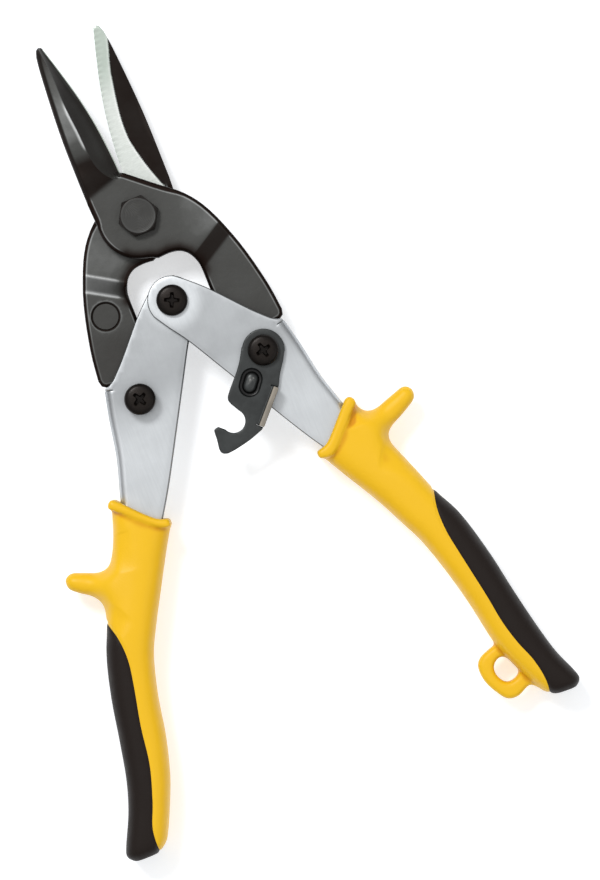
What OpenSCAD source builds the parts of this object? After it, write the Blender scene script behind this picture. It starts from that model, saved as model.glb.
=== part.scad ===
// Aviation snips with compound handles, drawn fully open and lying on their back.
// The jaw pivot's axis is the Z axis, the blades point along +Y and the surface that
// the snips lie on is z = 0. All sizes are in millimetres.
// Handles and arms are drawn once, outward = +X, and mirrored for the left side.

/* [Linkage] */
// Distance from the jaw pivot to each arm pivot
tail_reach = 54.8; // [54:0.1:55.5]
// Distance from the handle pivot to each arm pivot
arm_link = 31.1; // [30.5:0.1:31.8]
// Half of the angle between the jaw tails, handles open
open_half_angle = 21.2; // [20.8:0.1:21.6]

/* [Jaws] */
// Height of the shear plane above the surface below
rest_height = 9.5; // [9.3:0.1:10.5]
// Thickness of each jaw's head
head_thickness = 5.4; // [5.2:0.1:6]
// Thickness of each jaw's tail, centred on the shear plane
tail_thickness = 6.4; // [6:0.1:6.4]
// Height of a blade at its highest point
blade_height = 8.4; // [7.5:0.1:9]
// Height of a blade at its tip
tip_height = 3.2; // [2.5:0.1:4]
// Gap between each jaw and the shear plane
shear_gap = 0.02; // [0.01:0.01:0.05]

/* [Arms] */
// Thickness of the sheet metal
sheet = 1.6; // [1.4:0.1:1.6]
// Inside width of the left arm's channel
left_channel = 6.6; // [6.6:0.1:6.7]
// Inside width of the right arm's channel, which takes the left one
right_channel = 10; // [10:0.1:10.4]
// Radius of the arms' eyes at the handle pivot
eye_radius = 7.4; // [6.5:0.1:8]

/* [Fasteners] */
// Radius of the jaw bolt's shank
bolt_radius = 4; // [3.5:0.1:4.5]
// Width across the flats of the jaw bolt's head
bolt_flats = 11; // [10:0.1:12]
// Radius of the barrel nuts that the arms turn on
barrel_radius = 3; // [2.8:0.1:3.2]
// Radius of the pan heads
pan_radius = 4.7; // [4.2:0.1:5]
// Height of the pan heads
pan_height = 2.6; // [2.2:0.1:3]

/* [Latch] */
// Thickness of the latch plate
latch_sheet = 1.6; // [1.2:0.1:1.6]
// Height of the latch's thumb tab above its plate
tab_height = 4.2; // [3:0.1:6]

/* [Grips] */
// Height of the thumb stops
lug_thickness = 9; // [7:0.1:11]
// Thickness of the hanging loop
loop_thickness = 6; // [5:0.1:7]

/* [Hidden] */
$fn = 64;

// Running clearance of a pivot, and the wider one at the handle pivot, where both
// arms meet as the linkage folds
running = 0.05;
handle_clearance = 0.35;
washer_gap = 0.05;
sheet_gap = 0.05;

jaw_pivot = [0, 0];
arm_pivot = tail_reach * [sin(open_half_angle), -cos(open_half_angle)];
link_angle = asin(tail_reach / arm_link * sin(open_half_angle));
handle_pivot = [0, arm_pivot[1] + arm_link * cos(link_angle)];

tail_half = tail_thickness / 2;
left_half = left_channel / 2;
right_half = right_channel / 2;
left_face = left_half + sheet;
right_face = right_half + sheet;
washer_thickness = 0.6;
nut_thickness = rest_height - head_thickness - washer_thickness;
flange_thickness = 1.6;
thread_radius = 2;
// The screws end this far inside their barrel nuts' flanged end
thread_end = 1;
// A pan head's profile: shares of its radius and its height
pan_profile = [[0, 1], [0.45, 1], [0.78, 0.8], [0.97, 0.42], [1, 0], [0, 0]];
cross_turn = 15;
cross_length = 5.2;
cross_width = 1;
cross_depth = 1.2;
bolt_head_height = 3.4;
// Round top of the bolt's head and the nut, as a share of the width across their flats
chamfer_share = 0.92;
nut_flats = 13;
washer_radius = 8;
latch_washer_thickness = 0.4;
latch_washer_radius = 5.6;
hook_clearance = 0.25;
latch_low = right_face + latch_washer_thickness + sheet_gap;
latch_top = latch_low + latch_sheet;
hook_neck_top = latch_top + hook_clearance;
beyond = 80;

// ---- Curves ----

// A point on the smooth curve from b to c, with neighbours a and d
function between(a, b, c, d, t) =
    (2 * b + (c - a) * t + (2 * a - 5 * b + 4 * c - d) * t * t
        + (3 * b - a - 3 * c + d) * t * t * t) / 2;

// A smooth curve through the points, in so many steps between two of them
function curve(p, steps = 4) =
    let (last = len(p) - 1)
    [
        for (i = [0:last - 1], k = [0:steps - 1])
            between(p[max(i - 1, 0)], p[i], p[i + 1], p[min(i + 2, last)], k / steps),
        p[last]
    ];

function arc(centre, radius, from, to, steps = 12) =
    [for (k = [0:steps]) let (a = from + (to - from) * k / steps)
        centre + radius * [cos(a), sin(a)]];

// A slot's outline, from one end's centre to the other's
function stadium(from, to, radius) =
    let (turn = atan2(to[1] - from[1], to[0] - from[0]))
    concat(arc(to, radius, turn - 90, turn + 90), arc(from, radius, turn + 90, turn + 270));

function unit(v) = v / norm(v);
function reversed(list) = [for (i = [len(list) - 1:-1:0]) list[i]];
function power(value, exponent) = sign(value) * pow(abs(value), exponent);

// ---- Outlines, outward = +X ----

blade_back = [[-12.9, 8], [-12.9, 26], [-12.4, 38], [-11.5, 50.5], [-10.9, 55.5]];
blade_tip = [[-10.2, 57.5], [-9.3, 58.2], [-8.5, 58]];
blade_edge = [[-8.1, 57.2], [-5.8, 49], [-3.4, 39.5], [-1.7, 30], [-0.7, 20], [-0.4, 14.4]];
head_outside = [
    [0.9, 13.5], [8, 7.5], [15.4, 1.3], [20.5, -6.2], [25.2, -18.5], [28.4, -32], [29.6, -41.5]
];
tail_shoulder = [[29.2, -43.2], [28, -44], [25.8, -44.3]];
tail_inside = [[13, -42], [11.9, -30], [11.8, -21.5], [8.6, -15], [4.6, -13.4], [0.8, -13.2]];
head_radius = 12.7;
tail_eye_radius = 6;

jaw_outline = concat(
    curve(blade_back),
    blade_tip,
    curve(blade_edge),
    curve(head_outside),
    tail_shoulder,
    arc(arm_pivot, tail_eye_radius, 0, -180),
    curve(tail_inside),
    arc(jaw_pivot, head_radius, -98, -188)
);

// The blade starts at this line across the jaw
blade_root = [-2.4, 12.6];
blade_root_angle = 19.3;
// The head steps down to the tail along this line
step_point = [20.5, -11.1];
step_angle = 31;
step_run = 4.8;
// The blade's bevel is one plane, given by its height at the origin and its tilt
bevel_height = 4;
bevel_tilt = 46;
bevel_axis = [-0.155, 1, 0];
// Height of the blade's top along it: [y, share of the blade's full height]
blade_crown = [[9, 0.6], [16, 0.85], [25, 1], [36, 0.85]];
tip_y = 58;
ring_recess = [20.3, -24.2];
ring_recess_radius = 4.2;
ring_recess_depth = 0.4;

arm_top = [[3, -20.2], [7, -23.6], [12, -28.4], [20.6, -38.1], [25, -43.1], [27, -44.9]];
web_outside = [
    [28.9, -44.9], [30.8, -53], [33, -64.5], [36, -74.5], [38.2, -82], [42.4, -92], [48.2, -106],
    [53.6, -122], [56.8, -138]
];
arm_inside = [
    [52, -139], [47.6, -124], [41.4, -110], [33, -96], [26.8, -86.4], [21.1, -77.3], [11.8, -61],
    [5.8, -50.4], [0.3, -40.7], [-3.9, -34.6]
];
arm_outline = concat(
    curve(arm_top),
    curve(web_outside),
    curve(arm_inside),
    arc(handle_pivot, eye_radius, 203, 67)
);
web_outline = concat(
    curve(web_outside),
    reversed(curve([for (p = web_outside) p - [sheet, 0]]))
);
// What the grip closes round: the arm from just above the collar on
grip_start = -68;
socket_outline = concat(
    [for (p = curve(web_outside)) if (p[1] < grip_start) p],
    [for (p = curve(arm_inside)) if (p[1] < grip_start) p]
);

latch_eye_radius = 6.4;
latch_right = [[25.4, -54], [24, -56.4], [21.9, -59.4], [20.2, -62.6]];
latch_bottom = [[10.7, -73], [6, -74.6], [0.8, -75.7]];
latch_nose = [
    [-1.4, -75.9], [-2.9, -75.3], [-3.4, -73.8], [-3, -71], [-2.8, -68.2], [-2.2, -67.6], [-1.2, -67.4]
];
notch_centre = [3.7, -67.5];
notch_radius = 3.5;
latch_left = [[4.9, -62.6], [4.5, -61], [5.5, -59.1], [10, -54.1], [12.2, -51.1], [14, -48]];
latch_outline = concat(
    arc(arm_pivot, latch_eye_radius, 150, -24, 20),
    curve(latch_right, 2),
    curve(latch_bottom, 2),
    latch_nose,
    arc(notch_centre, notch_radius, 204, 400, 16),
    curve(latch_left, 2)
);
tab_from = [20.2, -62.6];
tab_to = [10.7, -73];
tab_thickness = 1.5;
tab_proud = 0.3;
// A stop pressed into the latch plate: a pill left standing in a ring-shaped recess
recess_from = [13.4, -57.8];
recess_to = [12, -59.6];
recess_radius = 3.2;
recess_depth = 1;
pill_radius = 2;

// Grip stations: outer edge, inner edge and half thickness as a share of the rest height
left_stations = [
    [[39.8, -77.6], [25.2, -89], 0.89], [[43.6, -88], [29.6, -96.2], 0.91],
    [[49.4, -100], [36, -107.4], 0.96], [[54.4, -110.2], [41, -116.3], 1],
    [[58.3, -119.8], [44.7, -123.9], 1], [[61.4, -131.5], [47.9, -135.2], 1],
    [[63.7, -143.6], [50.2, -147.3], 1], [[66.2, -155.5], [53.4, -158.8], 1],
    [[69.4, -165], [57.2, -168], 0.97], [[74, -174.6], [60.8, -175.4], 0.93],
    [[74.4, -177.2], [62.6, -177.6], 0.85], [[72.5, -179.2], [65, -179.2], 0.6]
];
right_stations = [
    [[38.8, -76], [24.6, -87.6], 0.89], [[43.4, -87], [28.6, -94.8], 0.91],
    [[48, -98.4], [34.8, -105.6], 0.96], [[52, -109], [39.2, -114.6], 1],
    [[56.5, -118.4], [42.8, -122.4], 1], [[60.3, -132.7], [46.2, -133.4], 1],
    [[62.5, -144.5], [49, -145], 1], [[65, -156.5], [51.6, -158.6], 1],
    [[67.6, -166.8], [55.6, -169], 0.97], [[70.6, -174.2], [59, -175.6], 0.93],
    [[71.4, -177.4], [60.8, -177.8], 0.85], [[69.6, -179.4], [63, -179.2], 0.6]
];
left_collar = concat(
    curve([[40.6, -76.9], [39, -75.8], [36.9, -77.6], [32.6, -82.3], [28.4, -86.2], [25.2, -87.3]], 3),
    curve([[25.2, -89.6], [28.1, -89], [33.5, -84.5], [37, -81.2], [40.8, -78]], 3)
);
right_collar = concat(
    curve([[39.6, -74.8], [38.6, -73.7], [36.9, -74], [31.4, -79.8], [28.5, -82.8], [26.3, -84.5],
        [23.3, -85.2]], 3),
    curve([[23.3, -87.2], [25.9, -88], [28.4, -87.2], [31.8, -83.8], [37.8, -77.5], [39.6, -76.2]], 3)
);
left_lug = concat(
    curve([[43.5, -88.5], [46.6, -93.8], [49.2, -95.1], [52, -94.5], [56.2, -92.9], [58.6, -92.1],
        [60.5, -92.9], [60.9, -94.4], [60.5, -96], [58.2, -98], [55.6, -99.9], [53.4, -102.4],
        [52.7, -105], [54, -109]], 3),
    [[46, -107], [40, -92]]
);
right_lug = concat(
    curve([[39.4, -76.9], [40.6, -79], [42.4, -80.1], [45.3, -79.8], [52.4, -77.5], [54.6, -76.9],
        [56.4, -78.1], [56.6, -80], [55.3, -81.7], [49, -85.2], [46, -86.9], [44.6, -88.9],
        [44.8, -91.6], [46.6, -95.4]], 3),
    [[41, -95], [34, -80]]
);
left_insert_edge = [
    [54.3, -108.8], [52.4, -115], [52, -122], [53.3, -130], [55.8, -141.8], [57.6, -153.4],
    [60.9, -164], [64, -172], [64.6, -181]
];
right_insert_edge = [
    [51.9, -107.6], [50.4, -114], [50.4, -121], [51.6, -128.5], [54.4, -143.6], [55.8, -152.5],
    [57.8, -160], [60.4, -167], [61.6, -174], [61, -181]
];
insert_far_side = [[90, -181], [90, -100], [56, -100]];
loop_outside = concat(
    curve([[53, -158.6], [49, -159.7], [46, -161], [44.4, -163.4], [44.8, -168], [47, -172.4],
        [49.2, -175.1], [52.6, -175.4], [57, -173.6], [60.4, -177.4]], 3),
    [[63, -170], [58, -158]]
);
loop_hole = curve([
    [52.2, -162.8], [49.8, -163.4], [48.4, -165.4], [48.7, -168], [50.4, -170.4], [53.2, -170.4],
    [55.4, -168.6], [54.8, -165.6], [52.2, -162.8]
], 3);
grip_wrap = 2.9;
grip_ring_points = 20;

coil_radius = 4.3;
wire_radius = 0.65;
coil_turns = 3.5;
coil_steps_per_turn = 14;
leg_route = [
    [-4.2, -29.5], [-2.6, -34], [1.8, -41], [7.4, -49.8], [12.6, -58], [18, -64.5], [25, -69.6],
    [32.4, -73]
];

// ---- Placement and shared shapes ----

module lifted() {
    translate([0, 0, rest_height]) children();
}

module on_left() {
    mirror([1, 0, 0]) children();
}

module slab(low, high) {
    translate([0, 0, low]) linear_extrude(high - low) children();
}

module rod(centre, radius, low, high) {
    translate([centre[0], centre[1], low]) cylinder(h = high - low, r = radius);
}

// A tube of round wire along a path
module wire(path, radius, sides = 8) {
    last = len(path) - 1;
    ring_points = [
        for (i = [0:last])
            let (
                along = unit(path[min(i + 1, last)] - path[max(i - 1, 0)]),
                side = unit(cross([0, 0, 1], along)),
                up = cross(along, side)
            )
            for (k = [0:sides - 1])
                path[i] + radius * (cos(k * 360 / sides) * side + sin(k * 360 / sides) * up)
    ];
    skin(ring_points, last, sides);
}

// Joins rings of so many points into one closed solid
module skin(points, last, sides) {
    polyhedron(points, concat(
        [[for (k = [0:sides - 1]) k]],
        [for (i = [0:last - 1], k = [0:sides - 1]) let (n = (k + 1) % sides)
            [i * sides + n, i * sides + k, (i + 1) * sides + k, (i + 1) * sides + n]],
        [[for (k = [sides - 1:-1:0]) last * sides + k]]
    ), convexity = 6);
}

// ---- Jaws ----

// What lies beyond a stepped side of the jaw: from the head's level, down the slope
// to the tail's level, drawn across the step line
module beyond_step(head_level, tail_level, far) {
    translate(step_point) rotate(step_angle - 90) rotate([90, 0, 0])
        linear_extrude(2 * beyond, center = true) polygon([
            [-beyond, head_level], [0, head_level], [step_run, tail_level],
            [beyond, tail_level], [beyond, far], [-beyond, far]
        ]);
}

module past_blade_root() {
    translate([blade_root[0], blade_root[1], -beyond]) rotate(blade_root_angle)
        translate([-beyond, 0, 0]) cube([2 * beyond, beyond, 2 * beyond]);
}

module above_blade() {
    crown = curve(concat([for (p = blade_crown) [p[0], p[1] * blade_height]], [[tip_y, tip_height]]));
    translate([-beyond / 2, 0, 0]) rotate([90, 0, 90]) linear_extrude(beyond)
        polygon(concat([[0, crown[0][1]]], crown, [[beyond, tip_height], [beyond, beyond], [0, beyond]]));
}

module above_bevel() {
    translate([0, 0, bevel_height]) rotate(a = bevel_tilt, v = bevel_axis)
        translate([-beyond, -beyond, 0]) cube([2 * beyond, 2 * beyond, beyond]);
}

module jaw(bore) {
    difference() {
        slab(-tail_half, blade_height) polygon(jaw_outline);
        beyond_step(shear_gap, -tail_half, -beyond);
        difference() {
            beyond_step(head_thickness, tail_half, beyond);
            past_blade_root();
        }
        intersection() {
            union() {
                above_blade();
                above_bevel();
            }
            past_blade_root();
        }
        rod(arm_pivot, barrel_radius + running, -beyond, beyond);
        rod(jaw_pivot, bore, -beyond, beyond);
    }
}

module front_jaw() {
    color([0.2, 0.2, 0.2]) lifted() jaw(bolt_radius + running);
}

// The same forging turned over; its tail has a plain round recess
module rear_jaw() {
    color([0.17, 0.17, 0.17]) lifted() difference() {
        rotate([0, 180, 0]) jaw(bolt_radius);
        rod([-ring_recess[0], ring_recess[1]], ring_recess_radius, tail_half - ring_recess_depth, beyond);
    }
}

module hex(flats, low, high) {
    translate([0, 0, low]) cylinder(h = high - low, r = flats / 2 / cos(30), $fn = 6);
}

// What turns a hexagon's corners down on one side, at 45 degrees from a round top face
module chamfer_cone(flats, low, high) {
    top_radius = chamfer_share * flats / 2;
    rotate_extrude() polygon([
        [0, low], [flats, low], [flats, high - flats + top_radius], [top_radius, high], [0, high]
    ]);
}

module jaw_bolt() {
    color([0.3, 0.3, 0.3]) lifted() {
        intersection() {
            hex(bolt_flats, head_thickness, head_thickness + bolt_head_height);
            chamfer_cone(bolt_flats, head_thickness, head_thickness + bolt_head_height);
        }
        rod(jaw_pivot, bolt_radius, -rest_height, head_thickness);
    }
}

module jaw_washer() {
    color([0.3, 0.3, 0.3]) lifted() difference() {
        rod(jaw_pivot, washer_radius, -head_thickness - washer_thickness, -head_thickness);
        rod(jaw_pivot, bolt_radius, -beyond, beyond);
    }
}

module jaw_nut() {
    color([0.25, 0.25, 0.25]) lifted() difference() {
        intersection() {
            hex(nut_flats, -rest_height, -rest_height + nut_thickness);
            mirror([0, 0, 1]) chamfer_cone(nut_flats, rest_height - nut_thickness, rest_height);
        }
        rod(jaw_pivot, bolt_radius, -beyond, beyond);
    }
}

// ---- Arms ----

module arm(channel, handle_bore) {
    half = channel / 2;
    difference() {
        union() {
            slab(half, half + sheet) polygon(arm_outline);
            slab(-half - sheet, -half) polygon(arm_outline);
            slab(-half, half) polygon(web_outline);
        }
        rod(arm_pivot, barrel_radius, -beyond, beyond);
        rod(handle_pivot, handle_bore, -beyond, beyond);
    }
}

module left_arm() {
    color([0.75, 0.77, 0.79]) lifted() on_left() arm(left_channel, barrel_radius + handle_clearance);
}

module right_arm() {
    color([0.72, 0.74, 0.76]) lifted() arm(right_channel, barrel_radius);
}

// A pan head with a cross recess, standing on the given height
module pan_screw(centre, seat, tip, neck_radius, neck_from) {
    dome = [for (p = pan_profile) [pan_radius * p[0], pan_height * p[1]]];
    difference() {
        translate([centre[0], centre[1], seat]) rotate_extrude() polygon(dome);
        translate([centre[0], centre[1], seat + pan_height]) for (turn = [0, 90])
            rotate(cross_turn + turn) cube([cross_length, cross_width, 2 * cross_depth], center = true);
    }
    rod(centre, thread_radius, tip, neck_from);
    rod(centre, neck_radius, neck_from, seat);
}

// A barrel nut: a flange below and a tube that the moving parts turn on
module barrel_nut(centre, seat, top) {
    difference() {
        union() {
            rod(centre, pan_radius, seat - flange_thickness, seat);
            rod(centre, barrel_radius, seat, top);
        }
        rod(centre, thread_radius, seat, beyond);
    }
}

module left_arm_screw() {
    color([0.12, 0.12, 0.13]) lifted() on_left()
        pan_screw(arm_pivot, hook_neck_top, thread_end - left_face, barrel_radius, left_face);
}

module left_arm_barrel_nut() {
    color([0.2, 0.2, 0.21]) lifted() on_left() barrel_nut(arm_pivot, -left_face, left_face);
}

module right_arm_screw() {
    color([0.12, 0.12, 0.13]) lifted()
        pan_screw(arm_pivot, latch_top + sheet_gap, thread_end - right_face, thread_radius, right_face);
}

module right_arm_barrel_nut() {
    color([0.2, 0.2, 0.21]) lifted() barrel_nut(arm_pivot, -right_face, latch_top + sheet_gap);
}

module handle_screw() {
    color([0.12, 0.12, 0.13]) lifted()
        pan_screw(handle_pivot, right_face, thread_end - right_face, thread_radius, right_half);
}

module handle_barrel_nut() {
    color([0.2, 0.2, 0.21]) lifted() barrel_nut(handle_pivot, -right_face, right_face);
}

// Two washers that centre the right jaw's tail in its wider channel
module tail_washers() {
    color([0.6, 0.6, 0.62]) lifted() for (side = [0, 1]) mirror([0, 0, side]) difference() {
        rod(arm_pivot, tail_eye_radius, tail_half + washer_gap, right_half - washer_gap);
        rod(arm_pivot, barrel_radius, -beyond, beyond);
    }
}

// A torsion spring round the handle barrel, with one leg in each channel
module opening_spring() {
    steps = coil_turns * coil_steps_per_turn;
    climb = tail_half - wire_radius - 0.1;
    coil = [
        for (i = [0:steps]) let (turn = 180 - 360 * i / coil_steps_per_turn)
            [coil_radius * cos(turn), handle_pivot[1] + coil_radius * sin(turn), climb * (1 - 2 * i / steps)]
    ];
    legs = curve(leg_route, 2);
    path = concat(
        [for (p = reversed(legs)) [p[0], p[1], climb]],
        coil,
        [for (p = legs) [-p[0], p[1], -climb]]
    );
    color([0.55, 0.56, 0.58]) lifted() wire(path, wire_radius);
}

// ---- Latch ----

module latch_recess() {
    difference() {
        polygon(stadium(recess_from, recess_to, recess_radius));
        polygon(stadium(recess_from, recess_to, pill_radius));
    }
}

module latch() {
    tab = tab_to - tab_from;
    color([0.25, 0.27, 0.29]) lifted() difference() {
        union() {
            slab(latch_low, latch_top) polygon(latch_outline);
            translate([tab_from[0], tab_from[1], latch_low]) rotate(atan2(tab[1], tab[0]))
                translate([tab_proud, tab_proud - tab_thickness, 0])
                    cube([norm(tab) - 2 * tab_proud, tab_thickness, latch_sheet + tab_height]);
        }
        rod(arm_pivot, barrel_radius + running, -beyond, beyond);
        slab(latch_top - recess_depth, beyond) latch_recess();
    }
}

module latch_washer() {
    color([0.35, 0.36, 0.38]) lifted() difference() {
        rod(arm_pivot, latch_washer_radius, right_face, right_face + latch_washer_thickness);
        rod(arm_pivot, barrel_radius, -beyond, beyond);
    }
}

// ---- Grips ----

function stations_flat(stations) =
    [for (s = stations) [s[0][0], s[0][1], s[1][0], s[1][1], s[2]]];

// A body lofted through the stations, each ring a rounded rectangle
module grip_body(stations) {
    rounding = 2 / grip_wrap;
    rings = curve(stations_flat(stations), 3);
    points = [
        for (s = rings)
            let (
                middle = [s[0] + s[2], s[1] + s[3]] / 2,
                half = [s[0] - s[2], s[1] - s[3]] / 2
            )
            for (k = [0:grip_ring_points - 1])
                let (
                    a = 360 * k / grip_ring_points,
                    across = power(cos(a), rounding),
                    up = power(sin(a), rounding) * min(s[4], 1) * rest_height
                )
                [middle[0] + half[0] * across, middle[1] + half[1] * across, up]
    ];
    skin(points, len(rings) - 1, grip_ring_points);
}

module insert_region(edge) {
    slab(-beyond, beyond) polygon(concat(curve(edge), insert_far_side));
}

module arm_socket(half) {
    slab(-half, half) polygon(socket_outline);
}

module grip(stations, collar, lug, edge, half) {
    difference() {
        union() {
            grip_body(stations);
            slab(-rest_height, rest_height) polygon(collar);
            slab(-lug_thickness / 2, lug_thickness / 2) polygon(lug);
            children();
        }
        arm_socket(half);
        insert_region(edge);
    }
}

module grip_insert(stations, edge, half) {
    difference() {
        intersection() {
            grip_body(stations);
            insert_region(edge);
        }
        arm_socket(half);
    }
}

module left_grip() {
    color([0.96, 0.76, 0.18]) lifted() on_left()
        grip(left_stations, left_collar, left_lug, left_insert_edge, left_face);
}

module left_grip_insert() {
    color([0.16, 0.14, 0.13]) lifted() on_left()
        grip_insert(left_stations, left_insert_edge, left_face);
}

module right_grip() {
    color([0.96, 0.76, 0.18]) lifted() difference() {
        grip(right_stations, right_collar, right_lug, right_insert_edge, right_face)
            slab(-loop_thickness / 2, loop_thickness / 2) polygon(loop_outside);
        slab(-beyond, beyond) polygon(loop_hole);
    }
}

module right_grip_insert() {
    color([0.16, 0.14, 0.13]) lifted()
        grip_insert(right_stations, right_insert_edge, right_face);
}

front_jaw();
rear_jaw();
jaw_bolt();
jaw_washer();
jaw_nut();
left_arm();
left_arm_screw();
left_arm_barrel_nut();
left_grip();
left_grip_insert();
right_arm();
right_arm_screw();
right_arm_barrel_nut();
tail_washers();
handle_screw();
handle_barrel_nut();
opening_spring();
right_grip();
right_grip_insert();
latch();
latch_washer();
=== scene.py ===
"""Looks of the aviation snips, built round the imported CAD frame.

Plans are drawn in millimetres in the row frame, seen from above. Heights in a plan are
measured from the shear plane, which lies REST above the floor. The right-hand side is
drawn, and the left one is its mirror image.
"""

import math

import bpy
import numpy as np
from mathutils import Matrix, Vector, geometry, kdtree


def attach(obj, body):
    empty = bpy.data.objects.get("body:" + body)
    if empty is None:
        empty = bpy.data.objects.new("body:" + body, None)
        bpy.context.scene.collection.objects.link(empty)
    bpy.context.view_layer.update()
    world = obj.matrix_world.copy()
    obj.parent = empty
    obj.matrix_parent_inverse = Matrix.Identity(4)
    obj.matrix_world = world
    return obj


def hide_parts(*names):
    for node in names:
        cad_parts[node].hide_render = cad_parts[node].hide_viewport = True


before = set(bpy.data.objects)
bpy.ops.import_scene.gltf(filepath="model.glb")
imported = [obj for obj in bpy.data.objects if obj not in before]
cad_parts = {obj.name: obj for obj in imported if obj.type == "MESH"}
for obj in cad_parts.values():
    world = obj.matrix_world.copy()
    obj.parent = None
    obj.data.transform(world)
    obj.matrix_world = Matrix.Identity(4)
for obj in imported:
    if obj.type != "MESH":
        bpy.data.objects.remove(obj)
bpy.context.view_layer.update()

MM = 0.001
REST = 9.5
# Depths of the rings that round an edge off, as shares of its radius
ROUND_STEPS = [0.08, 0.3, 0.62, 1.0]


# ---- Plan curves ----


def spline(points, steps=4, closed=False):
    """A smooth curve through the points."""
    points = [np.array(p, float) for p in points]
    n = len(points)
    made = []
    for i in range(n if closed else n - 1):
        near = range(i - 1, i + 3)
        a, b, c, d = (points[k % n if closed else min(max(k, 0), n - 1)] for k in near)
        for k in range(steps):
            t = k / steps
            made.append(
                (2 * b + (c - a) * t + (2 * a - 5 * b + 4 * c - d) * t * t
                 + (3 * b - a - 3 * c + d) * t ** 3) / 2
            )
    return made if closed else made + [points[-1]]


def arc(centre, radius, start, end, steps=16):
    """Points on an arc, with its angles in degrees."""
    turns = np.radians(np.linspace(start, end, steps + 1))
    return [np.array(centre) + radius * np.array([math.cos(a), math.sin(a)]) for a in turns]


def ring(centre, radius, steps=48):
    """A closed circle."""
    return arc(centre, radius, 0, 360, steps)[:-1]


def stadium(start, end, radius, steps=10):
    """The outline of a slot between two centres."""
    turn = math.degrees(math.atan2(end[1] - start[1], end[0] - start[0]))
    far = arc(end, radius, turn - 90, turn + 90, steps)
    return far + arc(start, radius, turn + 90, turn + 270, steps)


def refined(line, pitch, closed=True):
    """The line with extra points, so that none of its steps is longer than the pitch."""
    line = [np.array(p, float) for p in line]
    ends = line[1:] + line[:1] if closed else line[1:]
    made = []
    for a, b in zip(line, ends):
        length = np.linalg.norm(b - a)
        if length < 1e-6:
            continue
        count = max(1, math.ceil(length / pitch))
        made += [a + (b - a) * k / count for k in range(count)]
    return made if closed else made + [line[-1]]


def distance_to(points, line, closed=True):
    """Each point's smallest distance from a line, in two or three dimensions."""
    p = np.asarray(points, float)
    a = np.asarray(line, float)
    b = np.roll(a, -1, axis=0)
    if not closed:
        a, b = a[:-1], b[:-1]
    return distance_to_segments(p, a, b)


def distance_to_segments(p, a, b):
    best = np.full(len(p), 1e9)
    d = b - a
    size = np.maximum((d ** 2).sum(1), 1e-12)
    for start in range(0, len(a), 64):
        aa, dd, ss = (x[start:start + 64] for x in (a, d, size))
        t = np.clip(((p[:, None, :] - aa[None]) * dd[None]).sum(2) / ss[None], 0, 1)
        gap = p[:, None, :] - aa[None] - t[..., None] * dd[None]
        best = np.minimum(best, (gap ** 2).sum(2).min(1))
    return np.sqrt(best)


def inside(points, loop):
    """Which points lie inside a closed loop."""
    p = np.asarray(points, float)
    loop = np.asarray(loop, float)
    found = np.zeros(len(p), bool)
    for a, b in zip(loop, np.roll(loop, -1, axis=0)):
        if a[1] == b[1]:
            continue
        crosses = (a[1] > p[:, 1]) != (b[1] > p[:, 1])
        found ^= crosses & (p[:, 0] < (b[0] - a[0]) * (p[:, 1] - a[1]) / (b[1] - a[1]) + a[0])
    return found


def line_normals(line, closed=True):
    """Unit normals to the right of a line's direction."""
    p = np.asarray(line, float)
    if closed:
        along = np.roll(p, -1, axis=0) - np.roll(p, 1, axis=0)
    else:
        along = np.gradient(p, axis=0)
    normal = np.stack([along[:, 1], -along[:, 0]], axis=1)
    return normal / np.maximum(lengths(normal), 1e-9)[:, None]


def area_of(loop):
    """Twice the signed area of a closed loop."""
    after = np.roll(loop, -1, axis=0)
    return np.sum(loop[:, 0] * after[:, 1] - after[:, 0] * loop[:, 1])


def smooth(t):
    """A soft step from 0 to 1."""
    t = np.clip(t, 0, 1)
    return t * t * (3 - 2 * t)


def fall(distance, radius):
    """How far a rounded edge lies below its face at a distance from the edge."""
    d = np.clip(distance, 0, radius)
    return radius - np.sqrt(np.maximum(radius ** 2 - (radius - d) ** 2, 0))


def bell(distance, width):
    """1 on a line, and almost nothing at twice the width from it."""
    return np.exp(-(distance / width) ** 2)


def lengths(vectors):
    return np.linalg.norm(vectors, axis=1)


def top_only(values):
    """A solid's values from those of its upper sheet, with nothing below."""
    return np.concatenate([values, values * 0])


# ---- Meshes ----


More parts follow.
